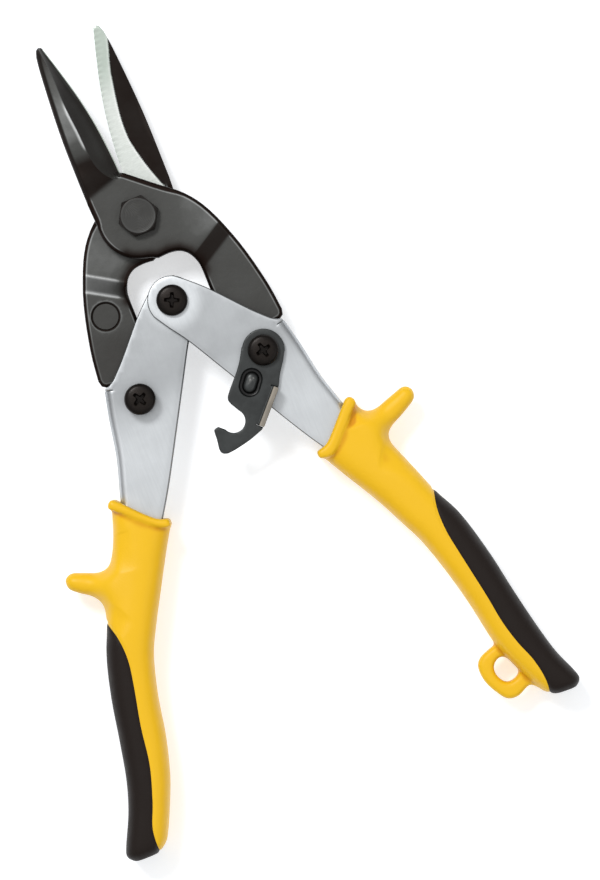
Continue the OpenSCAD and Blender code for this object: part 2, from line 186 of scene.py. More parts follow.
class Plan:
    """A flat mesh over an outline, with rings beside its edges and lines to crease along."""

    def __init__(self, outline, holes=(), edge=0.4, creases=(), pitch=0.8, rings=ROUND_STEPS):
        self.loops = [np.array(refined(line, pitch)) for line in (outline, *holes)]
        points, edges = [], []

        def add(line, closed):
            first = len(points)
            points.extend(line)
            count = len(line)
            steps = range(count if closed else count - 1)
            edges.extend((first + k, first + (k + 1) % count) for k in steps)

        def add_kept(line, kept, closed):
            if closed:
                line, kept = [*line, line[0]], [*kept, kept[0]]
            run = []
            for point, good in zip([*line, line[0]], [*kept, False]):
                if good:
                    run.append(point)
                else:
                    if len(run) > 1:
                        add(run, False)
                    run = []

        for number, loop in enumerate(self.loops):
            add(loop, True)
            inward = -line_normals(loop) * np.sign(area_of(loop)) * (1 if number == 0 else -1)
            for share in rings:
                moved = loop + inward * edge * share
                kept = (self.edge_distance(moved) > edge * share * 0.96) & self.covers(moved)
                add_kept(moved, kept, True)
        crease_lines = [(np.array(refined(line, pitch, closed)), closed) for line, closed in creases]
        for line, closed in crease_lines:
            kept = self.covers(line) & (self.edge_distance(line) > edge * 0.3)
            add_kept(line, kept, closed)
        low, high = self.loops[0].min(0), self.loops[0].max(0)
        rows = np.arange(low[1], high[1], pitch * 0.87)
        grid = np.array([
            (x, y)
            for k, y in enumerate(rows)
            for x in np.arange(low[0] + (k % 2) * pitch / 2, high[0], pitch)
        ])
        keep = self.covers(grid) & (self.edge_distance(grid) > edge + pitch * 0.45)
        for line, closed in crease_lines:
            keep &= distance_to(grid, line, closed) > pitch * 0.45
        points.extend(grid[keep])
        found = geometry.delaunay_2d_cdt([Vector(p) for p in points], edges, [], 0, 1e-5)
        corners = np.array([tuple(v) for v in found[0]])
        faces = np.array([f for f in found[2] if len(f) == 3])
        centres = corners[faces].mean(1)
        faces = faces[self.covers(centres)]
        turned_over = triangle_areas(corners, faces) < 0
        faces[turned_over] = faces[turned_over][:, ::-1]
        faces = without_slivers(corners, faces)
        used, renamed = np.unique(faces, return_inverse=True)
        self.points = corners[used]
        self.faces = renamed.reshape(-1, 3)
        self.edge_gap = self.edge_distance(self.points)

    def covers(self, points):
        found = inside(points, self.loops[0])
        for hole in self.loops[1:]:
            found &= ~inside(points, hole)
        return found

    def edge_distance(self, points):
        return np.min([distance_to(points, loop) for loop in self.loops], axis=0)


def triangle_areas(corners, faces):
    """Twice the signed area of each flat triangle."""
    a, b, c = (corners[faces[:, k]] for k in range(3))
    return (b[:, 0] - a[:, 0]) * (c[:, 1] - a[:, 1]) - (b[:, 1] - a[:, 1]) * (c[:, 0] - a[:, 0])


def without_slivers(corners, faces, thin=1e-3):
    """The triangles without those that are flat lines along the outline."""
    while True:
        turn = np.abs(triangle_areas(corners, faces))
        sides = (corners[faces[:, k]] - corners[faces[:, k - 1]] for k in range(3))
        longest = np.max([lengths(side) for side in sides], axis=0)
        rim = set(open_edges([tuple(f) for f in faces.tolist()]))
        on_rim = np.array([any((f[k], f[(k + 1) % 3]) in rim for k in range(3)) for f in faces.tolist()])
        kept = ~(on_rim & (turn < thin * longest))
        if kept.all():
            return faces
        faces = faces[kept]


def open_edges(faces):
    """The directed edges that belong to one face only."""
    found = {}
    for face in faces:
        for k in range(len(face)):
            found[(face[k], face[(k + 1) % len(face)])] = True
    return [(a, b) for a, b in found if (b, a) not in found]


def closed_between(upper, lower, faces):
    """Vertices and faces of the solid between two sheets that share their faces."""
    n = len(upper)
    faces = [tuple(int(i) for i in f) for f in faces]
    made = list(faces)
    made += [tuple(n + i for i in reversed(f)) for f in faces]
    made += [(b, a, n + a, n + b) for a, b in open_edges(faces)]
    return np.concatenate([upper, lower]), made


def height_solid(plan, top, bottom):
    """The solid over a plan, between a top and a bottom height at each of its points."""
    return closed_between(
        np.column_stack([plan.points, top]), np.column_stack([plan.points, bottom]), plan.faces
    )


def tube_faces(count, sides):
    """The faces of a tube through rings of points, closed at both ends."""
    faces = []
    for first in range(0, (count - 1) * sides, sides):
        for k in range(sides):
            n = (k + 1) % sides
            faces.append((first + k, first + n, first + sides + n, first + sides + k))
    last = (count - 1) * sides
    return [*faces, tuple(range(sides))[::-1], tuple(range(last, last + sides))]


def added(name, data):
    """A new object in the scene."""
    made = bpy.data.objects.new(name, data)
    bpy.context.scene.collection.objects.link(made)
    return made


def shown(name, built, body, material, nodes, place=(0, 0), crease=32):
    """Makes a piece that rides on a body and stands for its CAD nodes.

    It is built from millimetre corners, faces and the values at its points or faces. Its
    material goes into its one slot.
    """
    corners, faces, *rest = built
    mesh = bpy.data.meshes.new(name)
    mesh.from_pydata(((corners + np.array([*place, REST])) * MM).tolist(), [], [tuple(f) for f in faces])
    mesh.polygons.foreach_set("use_smooth", [True] * len(mesh.polygons))
    mesh.set_sharp_from_angle(angle=math.radians(crease))
    for key, value in (rest[0] if rest else {}).items():
        domain = "FACE" if len(value) == len(mesh.polygons) else "POINT"
        attribute = mesh.attributes.new(key, "FLOAT", domain)
        attribute.data.foreach_set("value", np.asarray(value, np.float32))
    mesh.validate()
    mesh.materials.append(material)
    made = added(name, mesh)
    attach(made, body)
    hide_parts(*nodes)


def changed(built, signs):
    """The same solid, mirrored or turned over."""
    corners, faces, *rest = built
    if np.prod(signs) < 0:
        faces = [tuple(reversed(f)) for f in faces]
    return (corners * signs, faces, *rest)


# ---- Where the pivots are ----

# From the jaw pivot to an arm's pivot, and from there to the handle pivot
TAIL_REACH = 54.8
ARM_LINK = 31.1
OPEN_HALF_ANGLE = math.radians(21.2)
ARM_PIVOT = TAIL_REACH * np.array([math.sin(OPEN_HALF_ANGLE), -math.cos(OPEN_HALF_ANGLE)])
LINK_ANGLE = math.asin(ARM_PIVOT[0] / ARM_LINK)
HANDLE_PIVOT = np.array([0, ARM_PIVOT[1] + ARM_LINK * math.cos(LINK_ANGLE)])
JAW_PIVOT = np.array([0.0, 0.0])
MIRROR = np.array([-1, 1, 1])
TURNED_OVER = np.array([-1, 1, -1])

# Heights: a jaw's head and half its tail, then the sheets of the arms and the latch
HEAD_TOP = 5.4
TAIL_HALF = 3.2
SHEET = 1.6
LEFT_MIDDLE = 4.1
RIGHT_MIDDLE = 5.8
LEFT_FACE = 4.9
RIGHT_FACE = 6.6
LATCH_LOW = 7.05
LATCH_TOP = 8.65
# Outer radius of the barrel nuts
BARREL = 3.0
# Running fit between a pin and its bore
CLEARANCE = 0.05


# ---- Jaws, drawn as the front one ----

BLADE_BACK = spline([(-12.9, 8), (-12.9, 26), (-12.4, 38), (-11.5, 50.5), (-10.9, 55.5)])
BLADE_TIP = [(-10.2, 57.5), (-9.3, 58.2), (-8.5, 58)]
BLADE_EDGE = spline([(-8.1, 57.2), (-5.8, 49), (-3.4, 39.5), (-1.7, 30), (-0.7, 20), (-0.4, 14.4)])
HEAD_OUTSIDE = spline([
    (0.9, 13.5), (8, 7.5), (15.4, 1.3), (20.5, -6.2), (25.2, -18.5), (28.4, -32), (29.6, -41.5)
])
TAIL_SHOULDER = [(29.2, -43.2), (28, -44), (25.8, -44.3)]
ARCH_CURVE = [(11.8, -22), (11.4, -19), (10, -16), (7.6, -14.1), (4.4, -13.5), (0.9, -13.7)]
TAIL_INSIDE = spline([(13, -42), (11.9, -30), *ARCH_CURVE])
HEAD_RADIUS = 12.7
# Angles where the round head starts at the arch and ends at the blade's back
HEAD_START = -98
HEAD_END = -188
TAIL_RADIUS = 6
JAW_OUTLINE = [
    *BLADE_BACK, *BLADE_TIP, *BLADE_EDGE, *HEAD_OUTSIDE, *TAIL_SHOULDER,
    *arc(ARM_PIVOT, TAIL_RADIUS, 0, -180, 20), *TAIL_INSIDE,
    *arc(JAW_PIVOT, HEAD_RADIUS, HEAD_START, HEAD_END, 24)
]
BLADE_ROOT = np.array([-2.4, 12.6])
ROOT_ACROSS = np.array([-0.33, 0.944])
STEP_POINT = np.array([20.5, -11.1])
STEP_DOWN = np.array([0.515, -0.857])
STEP_RUN = 4.8
LAND_HEIGHT = 0.9
LAND_WIDTH = 0.22
SIDE_BAND = 1.7
EDGE_ROUND = 0.8
ARCH_ROUND = 1.5
# The ridge between the blade's flat and its hollow bevel, and the flat's other side
RIDGE = spline([
    (-9.4, 58.2), (-8.9, 53), (-8.5, 47.7), (-8.3, 38), (-7.6, 30.2), (-7.3, 25.5), (-6.7, 19.6),
    (-5.4, 16.2), (-4.1, 14.3), (-2.4, 12.6)
])
CROWN = spline([(6, 5.4), (11, 5.5), (14, 6.5), (18, 7.7), (25, 8.4), (36, 7.3), (48, 4.9), (58.2, 3.2)])
# Beyond this line the shearing face is relieved and stays black
RELIEF = spline([
    (-12.4, 58.2), (-11.9, 56.3), (-10.5, 51.4), (-8.3, 44.2), (-7.7, 41.2), (-6.6, 35.2), (-5.8, 29),
    (-5.7, 23.2), (-6.4, 19.1), (-7.6, 14.1), (-9, 9.6), (-10.3, 6.2), (-12.6, 3)
])
RELIEF_DEPTH = 0.3
RECESS = np.array([20.3, -24.2])
RECESS_RADIUS = 4.4
RECESS_INNER = 3.8
# Width of the band along the rim that stays black: the forging's black skin, with painted shade on its rounded
# edge
BLACK_BAND = 0.75
# How far the blade's facet is brightened, by height up the blade, as rubbing and as a painted highlight: 1 is
# bare metal
FACET_POLISH_AND_SHEEN = [(20.5, 0.05), (23.5, 0.42), (30, 0.58), (36, 0.59), (44, 0.5), (50, 0.4), (56, 0.12)]
ARCH = [*ARCH_CURVE, *arc(JAW_PIVOT, HEAD_RADIUS, HEAD_START, -128, 8)]
JAW_RINGS = [*ROUND_STEPS, 1.25, 1.5, 1.75, 2.0, 2.4]
JAW_PITCH = 0.75
# Lines to crease along, beside the step's edges, the back, the ridge, the relief and the recess
STEP_SHIFTS = (
    -0.8, -0.4, -0.1, 0.2, 0.6, *(STEP_RUN + shift for shift in (-0.8, -0.4, 0, 0.4, 0.8))
)
STEP_REACH = 14
BACK_SHIFTS = (0.6, 0.9, 1.25, SIDE_BAND, 2.0)
RIDGE_SHIFTS = (-0.9, -0.5, -0.2, 0, 0.3)
RELIEF_SHIFTS = (-0.35, 0, 0.25, 0.5)
RECESS_RINGS = (4.7, 4.55, RECESS_RADIUS, 4.25, 4, RECESS_INNER, 3.6)


def by_height(y, line):
    """The line's other coordinate at each y."""
    line = np.array(line)
    order = np.argsort(line[:, 1])
    return np.interp(y, line[order, 1], line[order, 0])


def ramp(s, run, softness=0.22):
    """0 before a slope and 1 after it, with both of its edges a little rounded."""
    def bent(value):
        return softness * np.logaddexp(0, value / softness)

    return (bent(s) - bent(s - run)) / run


def hollow_at(points, outline, floor_outline, depth):
    """Depth of a recess whose walls slope from one outline to a smaller one."""
    outer = distance_to(points, outline)
    inner = np.where(inside(points, floor_outline), 0, distance_to(points, floor_outline))
    return np.where(inside(points, outline), depth * outer / np.maximum(outer + inner, 1e-6), 0)


def shifted(line, shifts):
    """Open crease lines: copies of the line, each moved along X."""
    return [(np.array(line) + np.array([shift, 0]), False) for shift in shifts]


def jaw(bore, with_recess):
    """A jaw, with values for its ground faces, its teeth, and the rubbing of its black skin with painted
    highlights and shade.
    """
    step_across = np.array([STEP_DOWN[1], -STEP_DOWN[0]]) * STEP_REACH
    step_lines = [
        ([STEP_POINT + STEP_DOWN * s - step_across, STEP_POINT + STEP_DOWN * s + step_across], False)
        for s in STEP_SHIFTS
    ]
    arch = [*TAIL_INSIDE, *arc(JAW_PIVOT, HEAD_RADIUS, HEAD_START, -172, 20)]
    arch_lines = [
        (np.array(arch) + line_normals(arch, False) * depth, False) for depth in (1.1, ARCH_ROUND)
    ]
    creases = [
        *shifted(RIDGE, RIDGE_SHIFTS), *shifted(RELIEF, RELIEF_SHIFTS),
        *shifted(BLADE_EDGE, [-LAND_WIDTH]), *step_lines, *shifted(BLADE_BACK, BACK_SHIFTS), *arch_lines
    ]
    if with_recess:
        creases += [(ring(RECESS, r), True) for r in RECESS_RINGS]
    bores = [ring(JAW_PIVOT, bore), ring(ARM_PIVOT, BARREL + CLEARANCE)]
    plan = Plan(JAW_OUTLINE, bores, EDGE_ROUND, creases, JAW_PITCH, JAW_RINGS)
    p = plan.points
    x, y = p[:, 0], p[:, 1]
    step = ramp((p - STEP_POINT) @ STEP_DOWN, STEP_RUN)
    on_blade = smooth(((p - BLADE_ROOT) @ ROOT_ACROSS) / 1.4)
    crown = np.interp(y, np.array(CROWN)[:, 0], np.array(CROWN)[:, 1])
    ridge = by_height(y, RIDGE)
    edge = by_height(y, [*BLADE_EDGE, (-9.3, 58.2), (1.2, 13.2), (2.4, 12.2)])
    share = np.clip((x - ridge) / np.maximum(edge - LAND_WIDTH - ridge, 0.2), 0, 1)
    hollow = LAND_HEIGHT + (crown - LAND_HEIGHT) * (1 - share) ** 1.6
    flat = crown - 0.26 * np.maximum(ridge - x, 0) * smooth((y - 14) / 8)
    back_gap = distance_to(p, BLADE_BACK, False)
    blade = np.where(x > ridge, hollow, flat)
    edge_gap = distance_to(p, BLADE_EDGE, False)
    near_edge = smooth(1 - edge_gap / 1.2) * on_blade
    near_arch = smooth((2.2 - distance_to(p, arch, False)) / 0.7) * (1 - on_blade)
    rounding = EDGE_ROUND * (1 - near_edge) + 0.05 * near_edge
    rounding += (ARCH_ROUND - EDGE_ROUND) * near_arch
    top = HEAD_TOP - (HEAD_TOP - TAIL_HALF) * step
    top = top * (1 - on_blade) + blade * on_blade
    top -= fall(plan.edge_gap, rounding)
    top -= (fall(back_gap, SIDE_BAND) - fall(back_gap, EDGE_ROUND)) * on_blade * 0.9
    bottom = 0.02 - (TAIL_HALF + 0.02) * step
    beyond = by_height(y, RELIEF) - x
    bottom += (RELIEF_DEPTH * smooth(beyond / 0.35) + 0.22 * np.clip(beyond, 0, 6)) * smooth((y - 2) / 4)
    if with_recess:
        away = lengths(p - RECESS)
        bottom += 0.15 * smooth((RECESS_RADIUS - away) / 0.2)
        bottom += 0.5 * smooth((away - RECESS_INNER) / 0.15) * smooth((RECESS_RADIUS - away) / 0.15)
    under_round = np.where(step > 0.2, EDGE_ROUND + (ARCH_ROUND - EDGE_ROUND) * near_arch, 0.12)
    bottom += fall(plan.edge_gap, under_round * (1 - near_edge) + 0.02)
    corners, faces = height_solid(plan, top, bottom)
    centres = np.array([np.mean(p[f], axis=0) for f in plan.faces])
    land = (distance_to(centres, BLADE_EDGE, False) < LAND_WIDTH * 0.95) & (centres[:, 1] > 14)
    shear = (centres[:, 0] > by_height(centres[:, 1], RELIEF) - 0.18) & (centres[:, 1] > 6)
    rest = len(faces) - 2 * len(plan.faces)
    ground = np.concatenate([land, shear, np.zeros(rest)]).astype(float)
    # Painted shade: a black band along the rim, part skin and part shade on the rounded edge, and darkening
    # towards the arch below the bolt
    rim = distance_to(p, JAW_OUTLINE)
    band = BLACK_BAND + 0.45 * smooth(y / 4)
    arch_gap = distance_to(p, ARCH, False)
    shaded = smooth((3.4 - arch_gap) / 2.6)
    dimmed = 0.1 * smooth((6.5 - arch_gap) / 5)
    skin = smooth((rim - band) / 0.3) * (1 - 0.92 * shaded)
    # A painted highlight: a thin light line just inside the black band
    line = 0.28 * bell(rim - band - 0.35, 0.2)
    # Painted light: the head lighter towards its right; darker down the tail
    head = 0.43 + 0.13 * smooth((x - 4) / 16) * smooth((y + 16) / 6) - 0.05 * smooth((-y - 32) / 12)
    along = (p - STEP_POINT) @ STEP_DOWN
    slope = smooth((along + 0.2) / 0.4) * smooth((STEP_RUN + 0.2 - along) / 0.4)
    # Painted shade on the front jaw's step, which faces away from the light
    top_polish_and_light = (head + line - dimmed) * skin * (1 - 0.82 * slope)
    # The facet: rubbed and painted brighter, with a painted highlight line along the back and a painted
    # highlight along the ridge
    facet = np.interp(y, *np.transpose(FACET_POLISH_AND_SHEEN)) * smooth((back_gap - 1.05) / 0.5)
    facet += 0.1 * bell(back_gap - 0.9, 0.25)
    facet += 0.7 * bell(ridge - x - 0.2, 0.3) * smooth((y - 23) / 3) * smooth((41 - y) / 6)
    # Painted sheen down the middle of the hollow bevel, and a painted highlight line near the cutting edge
    bevel = 0.13 + 0.12 * bell(share - 0.55, 0.3) * smooth((y - 17) / 6) * smooth((52 - y) / 8)
    bevel += 0.2 * bell(edge - x - 0.7, 0.35) * smooth((y - 38) / 4) * smooth((54 - y) / 4)
    over = smooth((x - ridge) / 0.3)
    top_polish_and_light += ((1 - over) * facet + over * bevel - top_polish_and_light) * on_blade

    # Rear jaw's visible face: darker down the tail and lighter towards the head; painted highlight lines along
    # both edges of the step, the ramp painted lighter as lit, and painted shade near the arch
    under_polish_and_light = 0.42 - 0.1 * smooth((-y - 26) / 8) + 0.32 * bell(along + 0.1, 0.35)
    under_polish_and_light += 0.12 * smooth((y + 18) / 8) + 0.13 * slope - 0.5 * dimmed
    under_polish_and_light = (under_polish_and_light + line + 0.4 * bell(along - STEP_RUN, 0.45)) * skin
    if with_recess:
        # Painted shade in the recess's groove and on its floor, and a painted highlight just outside its rim
        groove = smooth((away - RECESS_INNER) / 0.15) * smooth((RECESS_RADIUS + 0.1 - away) / 0.15)
        under_polish_and_light = (under_polish_and_light + 0.16 * bell(away - RECESS_RADIUS - 0.3, 0.2)) * (1 - 0.95 * groove)
        under_polish_and_light -= 0.06 * smooth((RECESS_INNER + 0.1 - away) / 0.3)
    # Painted reflection on the ground shearing face: brighter towards the head, with a painted highlight along
    # the relief's edge; the relief stays black
    bright = 0.08 + 0.55 * smooth((47 - y) / 14) + 0.3 * bell(beyond + 0.25, 0.25)
    relieved = smooth(beyond / 0.35)
    under_polish_and_light += (0.06 * relieved + bright * (1 - relieved) - under_polish_and_light) * smooth((y - 5) / 1.5)
    teeth = np.exp(-edge_gap / 0.9) * smooth((y - 16) / 2)
    return corners, faces, {
        "ground": ground,
        "polish": np.concatenate([top_polish_and_light, under_polish_and_light]),
        "teeth": np.concatenate([teeth * 0, teeth]),
    }


# ---- Screws, bolt and nuts ----

PAN_RADIUS = 4.7
PAN_HEIGHT = 2.6
PAN_ROUND = 1.1
PAN_RINGS = [0.03, 0.12, 0.28, 0.5, 0.75, 1.0]
SHANK = 2.0
SHANK_TIP = 1.6
CROSS_DEPTH = 1.35
BOLT_FLATS = 11.0
BOLT_HEIGHT = 3.4
BOLT_RADIUS = 4.0
NUT_FLATS = 13.0
NUT_TOP = -6.0
# Slope and width of the chamfers on the hexagons' corners
BOLT_CHAMFER = 1.05
NUT_CHAMFER = 1.35
TIP_CHAMFER = 0.5
# A wall that stands upright takes this much of the plan
WALL = 0.02


def cross(size, width, corner, turn):
    """The outline of a cross recess."""
    made = []
    for k in range(4):
        a = math.radians(90 * k + turn)
        axis = np.array([[math.cos(a), -math.sin(a)], [math.sin(a), math.cos(a)]])
        made += [axis @ np.array(p) for p in (
            (size, -width), (size + 0.12, 0), (size, width), (size * 0.55, width), (corner, corner)
        )]
    return made


def pan_screw(seat, tip, neck, neck_from, turn):
    """A pan head with a cross recess, its neck and its threaded shank, about the origin."""
    wide = cross(2.3, 0.55, 0.78, turn)
    narrow = cross(1.5, 0.32, 0.45, turn)
    creases = [(wide, True), (narrow, True)]
    creases += [(ring((0, 0), r), True) for r in (neck, neck - WALL, SHANK, SHANK - WALL, SHANK_TIP)]
    plan = Plan(ring((0, 0), PAN_RADIUS, 72), [], PAN_ROUND, creases, 0.4, PAN_RINGS)
    away = lengths(plan.points)
    dome = 1 - 0.2 * (away / PAN_RADIUS) ** 2.5
    sinking = hollow_at(plan.points, wide, narrow, CROSS_DEPTH)
    top = seat + PAN_HEIGHT * dome - 0.9 * fall(PAN_RADIUS - away, PAN_ROUND) - sinking
    shank = np.where(away > SHANK - WALL / 2, neck_from, tip + np.clip(away - SHANK_TIP, 0, 0.4))
    bottom = np.where(away > neck - WALL / 2, seat, shank)
    return *height_solid(plan, top, bottom), {
        # Round the recess: rubbing from the driver and a painted highlight. The crown: painted sheen, darker
        # towards the rim
        "wear": top_only(np.exp(-distance_to(plan.points, wide) / 0.14) * 0.5),
        "polish": top_only(0.5 * smooth((PAN_RADIUS - 1 - away) / 1.2) * (1 - smooth(sinking / 0.6))),
    }


def hex_outline(flats, corner=0.35):
    """A hexagon with its corners a little rounded."""
    reach = flats / 2 / math.cos(math.radians(30))
    made = []
    for k in range(6):
        a = 60 * k
        centre = np.array([math.cos(math.radians(a)), math.sin(math.radians(a))]) * (reach - corner * 1.155)
        made += arc(centre, corner, a - 30, a + 30, 4)
    return made


def jaw_bolt():
    """A hexagon head with a turned face, and its shank."""
    face = 0.965 * BOLT_FLATS / 2
    radii = [BOLT_RADIUS, BOLT_RADIUS - WALL, BOLT_RADIUS - TIP_CHAMFER]
    radii += [face + shift for shift in (0.15, 0, -0.15, -0.35, -0.6)]
    rings = [(ring((0, 0), r, 72), True) for r in (*radii, 1.3, 1.0)]
    plan = Plan(hex_outline(BOLT_FLATS), [], 0.25, rings, 0.5)
    away = lengths(plan.points)
    top = HEAD_TOP + BOLT_HEIGHT - BOLT_CHAMFER * ramp(away - face, BOLT_CHAMFER, 0.06)
    top -= fall(plan.edge_gap, 0.2) + 0.06 * smooth((face - away) / 1.2)
    tip = -REST + np.clip(away - BOLT_RADIUS + TIP_CHAMFER, 0, TIP_CHAMFER)
    bottom = np.where(away > BOLT_RADIUS - WALL / 2, HEAD_TOP, tip)
    # Painted light: the chamfer kept dark as shade, and a painted highlight ring just inside the face's rim
    polish = 0.15 + 0.23 * smooth((face - away) / 0.3) + 0.12 * bell(away - face + 0.35, 0.2)
    return *height_solid(plan, top, bottom), {"polish": top_only(polish)}


def jaw_nut():
    """A hexagon nut, chamfered below and countersunk round its bore."""
    face = 0.92 * NUT_FLATS / 2
    sink = BOLT_RADIUS + 0.4
    rings = [(ring((0, 0), r, 72), True) for r in (face, face - 0.15, face + 0.15, sink)]
    plan = Plan(hex_outline(NUT_FLATS), [ring((0, 0), BOLT_RADIUS, 64)], 0.25, rings, 0.6)
    away = lengths(plan.points)
    side_round = fall(distance_to(plan.points, plan.loops[0]), 0.2)
    bottom = -REST + NUT_CHAMFER * ramp(away - face, NUT_CHAMFER, 0.06)
    bottom += np.clip(sink - away, 0, 0.4) + side_round
    # Painted light: the chamfer kept dark as shade, and a painted highlight ring just inside the face's rim
    polish = 0.4 * smooth((face - away) / 0.3) + 0.2 * bell(away - face + 0.35, 0.2)
    return *height_solid(plan, NUT_TOP - side_round, bottom), {"polish": np.tile(polish, 2)}


def turned(profile, sides=72):
    """A closed profile of [radius, height] points turned about the vertical axis."""
    corners, faces, rows = [], [], []
    for radius, height in profile:
        turns = [2 * math.pi * k / sides for k in range(sides if radius > 1e-6 else 1)]
        first = len(corners)
        corners += [(radius * math.cos(a), radius * math.sin(a), height) for a in turns]
        rows.append([first + k % len(turns) for k in range(sides)])
    for lower, upper in zip(rows, rows[1:] + rows[:1]):
        for k in range(sides):
            n = (k + 1) % sides
            face = dict.fromkeys((lower[k], lower[n], upper[n], upper[k]))
            if len(face) > 2:
                faces.append(tuple(face))
    return np.array(corners), faces


def barrel_nut(seat, top):
    """A flanged tube that closes at its flange."""
    low, r = seat - 1.6, 0.5
    profile = [(0, low + 0.35), (1.5, low + 0.3), (2.1, low)]
    profile += arc((PAN_RADIUS - r, low + r), r, 270, 360, 5)
    profile += arc((PAN_RADIUS - 0.2, seat - 0.2), 0.2, 0, 90, 3)
    return turned([*profile, (BARREL, seat), (BARREL, top), (SHANK, top), (SHANK, seat), (0, seat)])


def washer(inner, outer, low, high, r):
    """A flat ring with rounded edges."""
    profile = []
    for radius, height, start in (
        (outer - r, low + r, -90), (outer - r, high - r, 0),
        (inner + r, high - r, 90), (inner + r, low + r, 180),
    ):
        profile += arc((radius, height), r, start, start + 90, 4)
    return turned(profile)


# ---- Folded sheet metal ----

SHEET_ROUND = 0.35


def with_rim_steps(line, depth):
    """The line with extra points close to both of its ends."""
    made = [np.array(p, float) for p in line]
    for _ in range(2):
        start, after = made[0], made[1]
        along = (after - start) / np.linalg.norm(after - start)
        made = [start, *(start + along * depth * share for share in ROUND_STEPS), *made[1:]]
        made.reverse()
    return made


def sheet_solid(corners, normals, faces):
    """The closed solid round a middle surface, with its free edges rounded off."""
    rim = np.array(open_edges([tuple(int(i) for i in f) for f in faces]))
    gap = distance_to_segments(corners, corners[rim[:, 0]], corners[rim[:, 1]])
    half = (SHEET / 2 - fall(gap, SHEET_ROUND))[:, None]
    return *closed_between(corners + normals * half, corners - normals * half, faces), gap


# Angles of the rows that go round a bend
BEND_TURNS = np.radians(np.linspace(15, 90, 6))


def folded(outline, holes, fold, rows, middle, second_middle=None, pitch=1.3, creases=()):
    """A middle surface: a flat over the outline, then rows that go on past its fold line.

    A row is (offset outward, height, outward and upward parts of the normal). With a second
    middle, the last row meets a second flat there, so that the sheet is a channel.
    """
    if area_of(np.array(outline)) < 0:
        outline, fold = outline[::-1], fold[::-1]
    plan = Plan(outline, holes, SHEET_ROUND, creases, pitch)
    fold = np.array(refined(fold, pitch, False))
    on_fold = []
    for k, p in enumerate(fold):
        near = int(np.argmin(lengths(plan.points - p)))
        if np.linalg.norm(plan.points[near] - p) < 1e-3 and near not in on_fold:
            on_fold.append(near)
    base = plan.points[on_fold]
    outward = line_normals(base, False)
    corners = [(x, y, middle) for x, y in plan.points]
    normals = [(0, 0, 1)] * len(corners)
    faces = [tuple(f) for f in plan.faces]
    lines = [on_fold]
    for offset, height, out_part, up_part in rows:
        lines.append(range(len(corners), len(corners) + len(base)))
        corners += [(*(p + out * offset), height) for p, out in zip(base, outward)]
        normals += [(*(out * out_part), up_part) for out in outward]
    if second_middle is not None:
        first = len(corners)
        corners += [(x, y, second_middle) for x, y in plan.points]
        normals += [(0, 0, -1)] * len(plan.points)
        faces += [tuple(first + i for i in reversed(f)) for f in plan.faces]
        lines.append([first + i for i in on_fold])
    for before, now in zip(lines, lines[1:]):
        faces += [(before[k + 1], before[k], now[k], now[k + 1]) for k in range(len(base) - 1)]
    return np.array(corners), np.array(normals, float), faces


BEND = 1.6
ARM_TOP = [(3, -20.2), (7, -23.6), (12, -28.4), (20.6, -38.1), (25.4, -42.9)]
# The plate's upper corner, which reaches over the top of the web with a hair of clearance
ARM_CORNER = [(27.2, -44), (28.4, -44.3), (28.7, -44.85)]
WEB_OUTSIDE = [
    (28.9, -44.9), (30.8, -53), (33, -64.5), (36, -74.5), (38.2, -82), (42.4, -92), (48.2, -106),
    (53.6, -122), (56.8, -138)
]
ARM_INSIDE = [
    (52, -139), (47.6, -124), (41.4, -110), (33, -96), (26.8, -86.4), (21.1, -77.3), (11.8, -61),
    (5.8, -50.4), (0.3, -40.7), (-3.9, -34.6)
]
EYE_RADIUS = 7.4
# Painted sheen on the plating, by the distance down from the jaw pivot
ARM_SHEEN = [(24, 0.35), (34, 0.25), (48, 0.08), (58, 0.7), (70, 0.85), (90, 0.75)]


def arm(middle, handle_bore):
    """A U-shaped arm: a plate above and below, joined by a web with round bends."""
    web = np.array(spline(WEB_OUTSIDE))
    fold = with_rim_steps(web + line_normals(web, False) * (SHEET / 2 + BEND), SHEET_ROUND)
    outline = [
        *spline(ARM_TOP), *ARM_CORNER, *fold, *spline(ARM_INSIDE), *arc(HANDLE_PIVOT, EYE_RADIUS, 203, 67, 24)
    ]
    drop = middle - BEND
    bend = [(BEND * math.sin(a), drop + BEND * math.cos(a), math.sin(a), math.cos(a)) for a in BEND_TURNS]
    rows = [*bend, *((BEND, height, 1, 0) for height in np.linspace(drop, -drop, 7)[1:])]
    rows += [(offset, -height, outward, -up) for offset, height, outward, up in bend[-2::-1]]
    holes = [ring(ARM_PIVOT, BARREL, 40), ring(HANDLE_PIVOT, handle_bore, 40)]
    corners, normals, faces = folded(outline, holes, fold, rows, middle, -middle)
    solid, faces, gap = sheet_solid(corners, normals, faces)
    plan = corners[:, :2]
    from_corner = lengths(plan - np.array(ARM_CORNER[-1]))
    sheen = np.interp(-plan[:, 1], *np.transpose(ARM_SHEEN))
    values = {
        # A painted highlight line just inside the rim
        "wear": bell(gap - 0.5, 0.2),
        # Painted shade on the cut edges, left off near the upper corner
        "edge": smooth((0.32 - gap) / 0.16) * smooth(from_corner / 0.8 - 2.5),
        # Painted shade on the bends
        "bent": 1 - np.abs(normals[:, 2]),
        # Painted sheen down the arm, and a painted highlight round the handle pivot's eye
        "polish": np.maximum(sheen, 1.1 * smooth((12 - lengths(plan - HANDLE_PIVOT)) / 7)),
    }
    return solid, faces, {name: np.tile(value, 2) for name, value in values.items()}


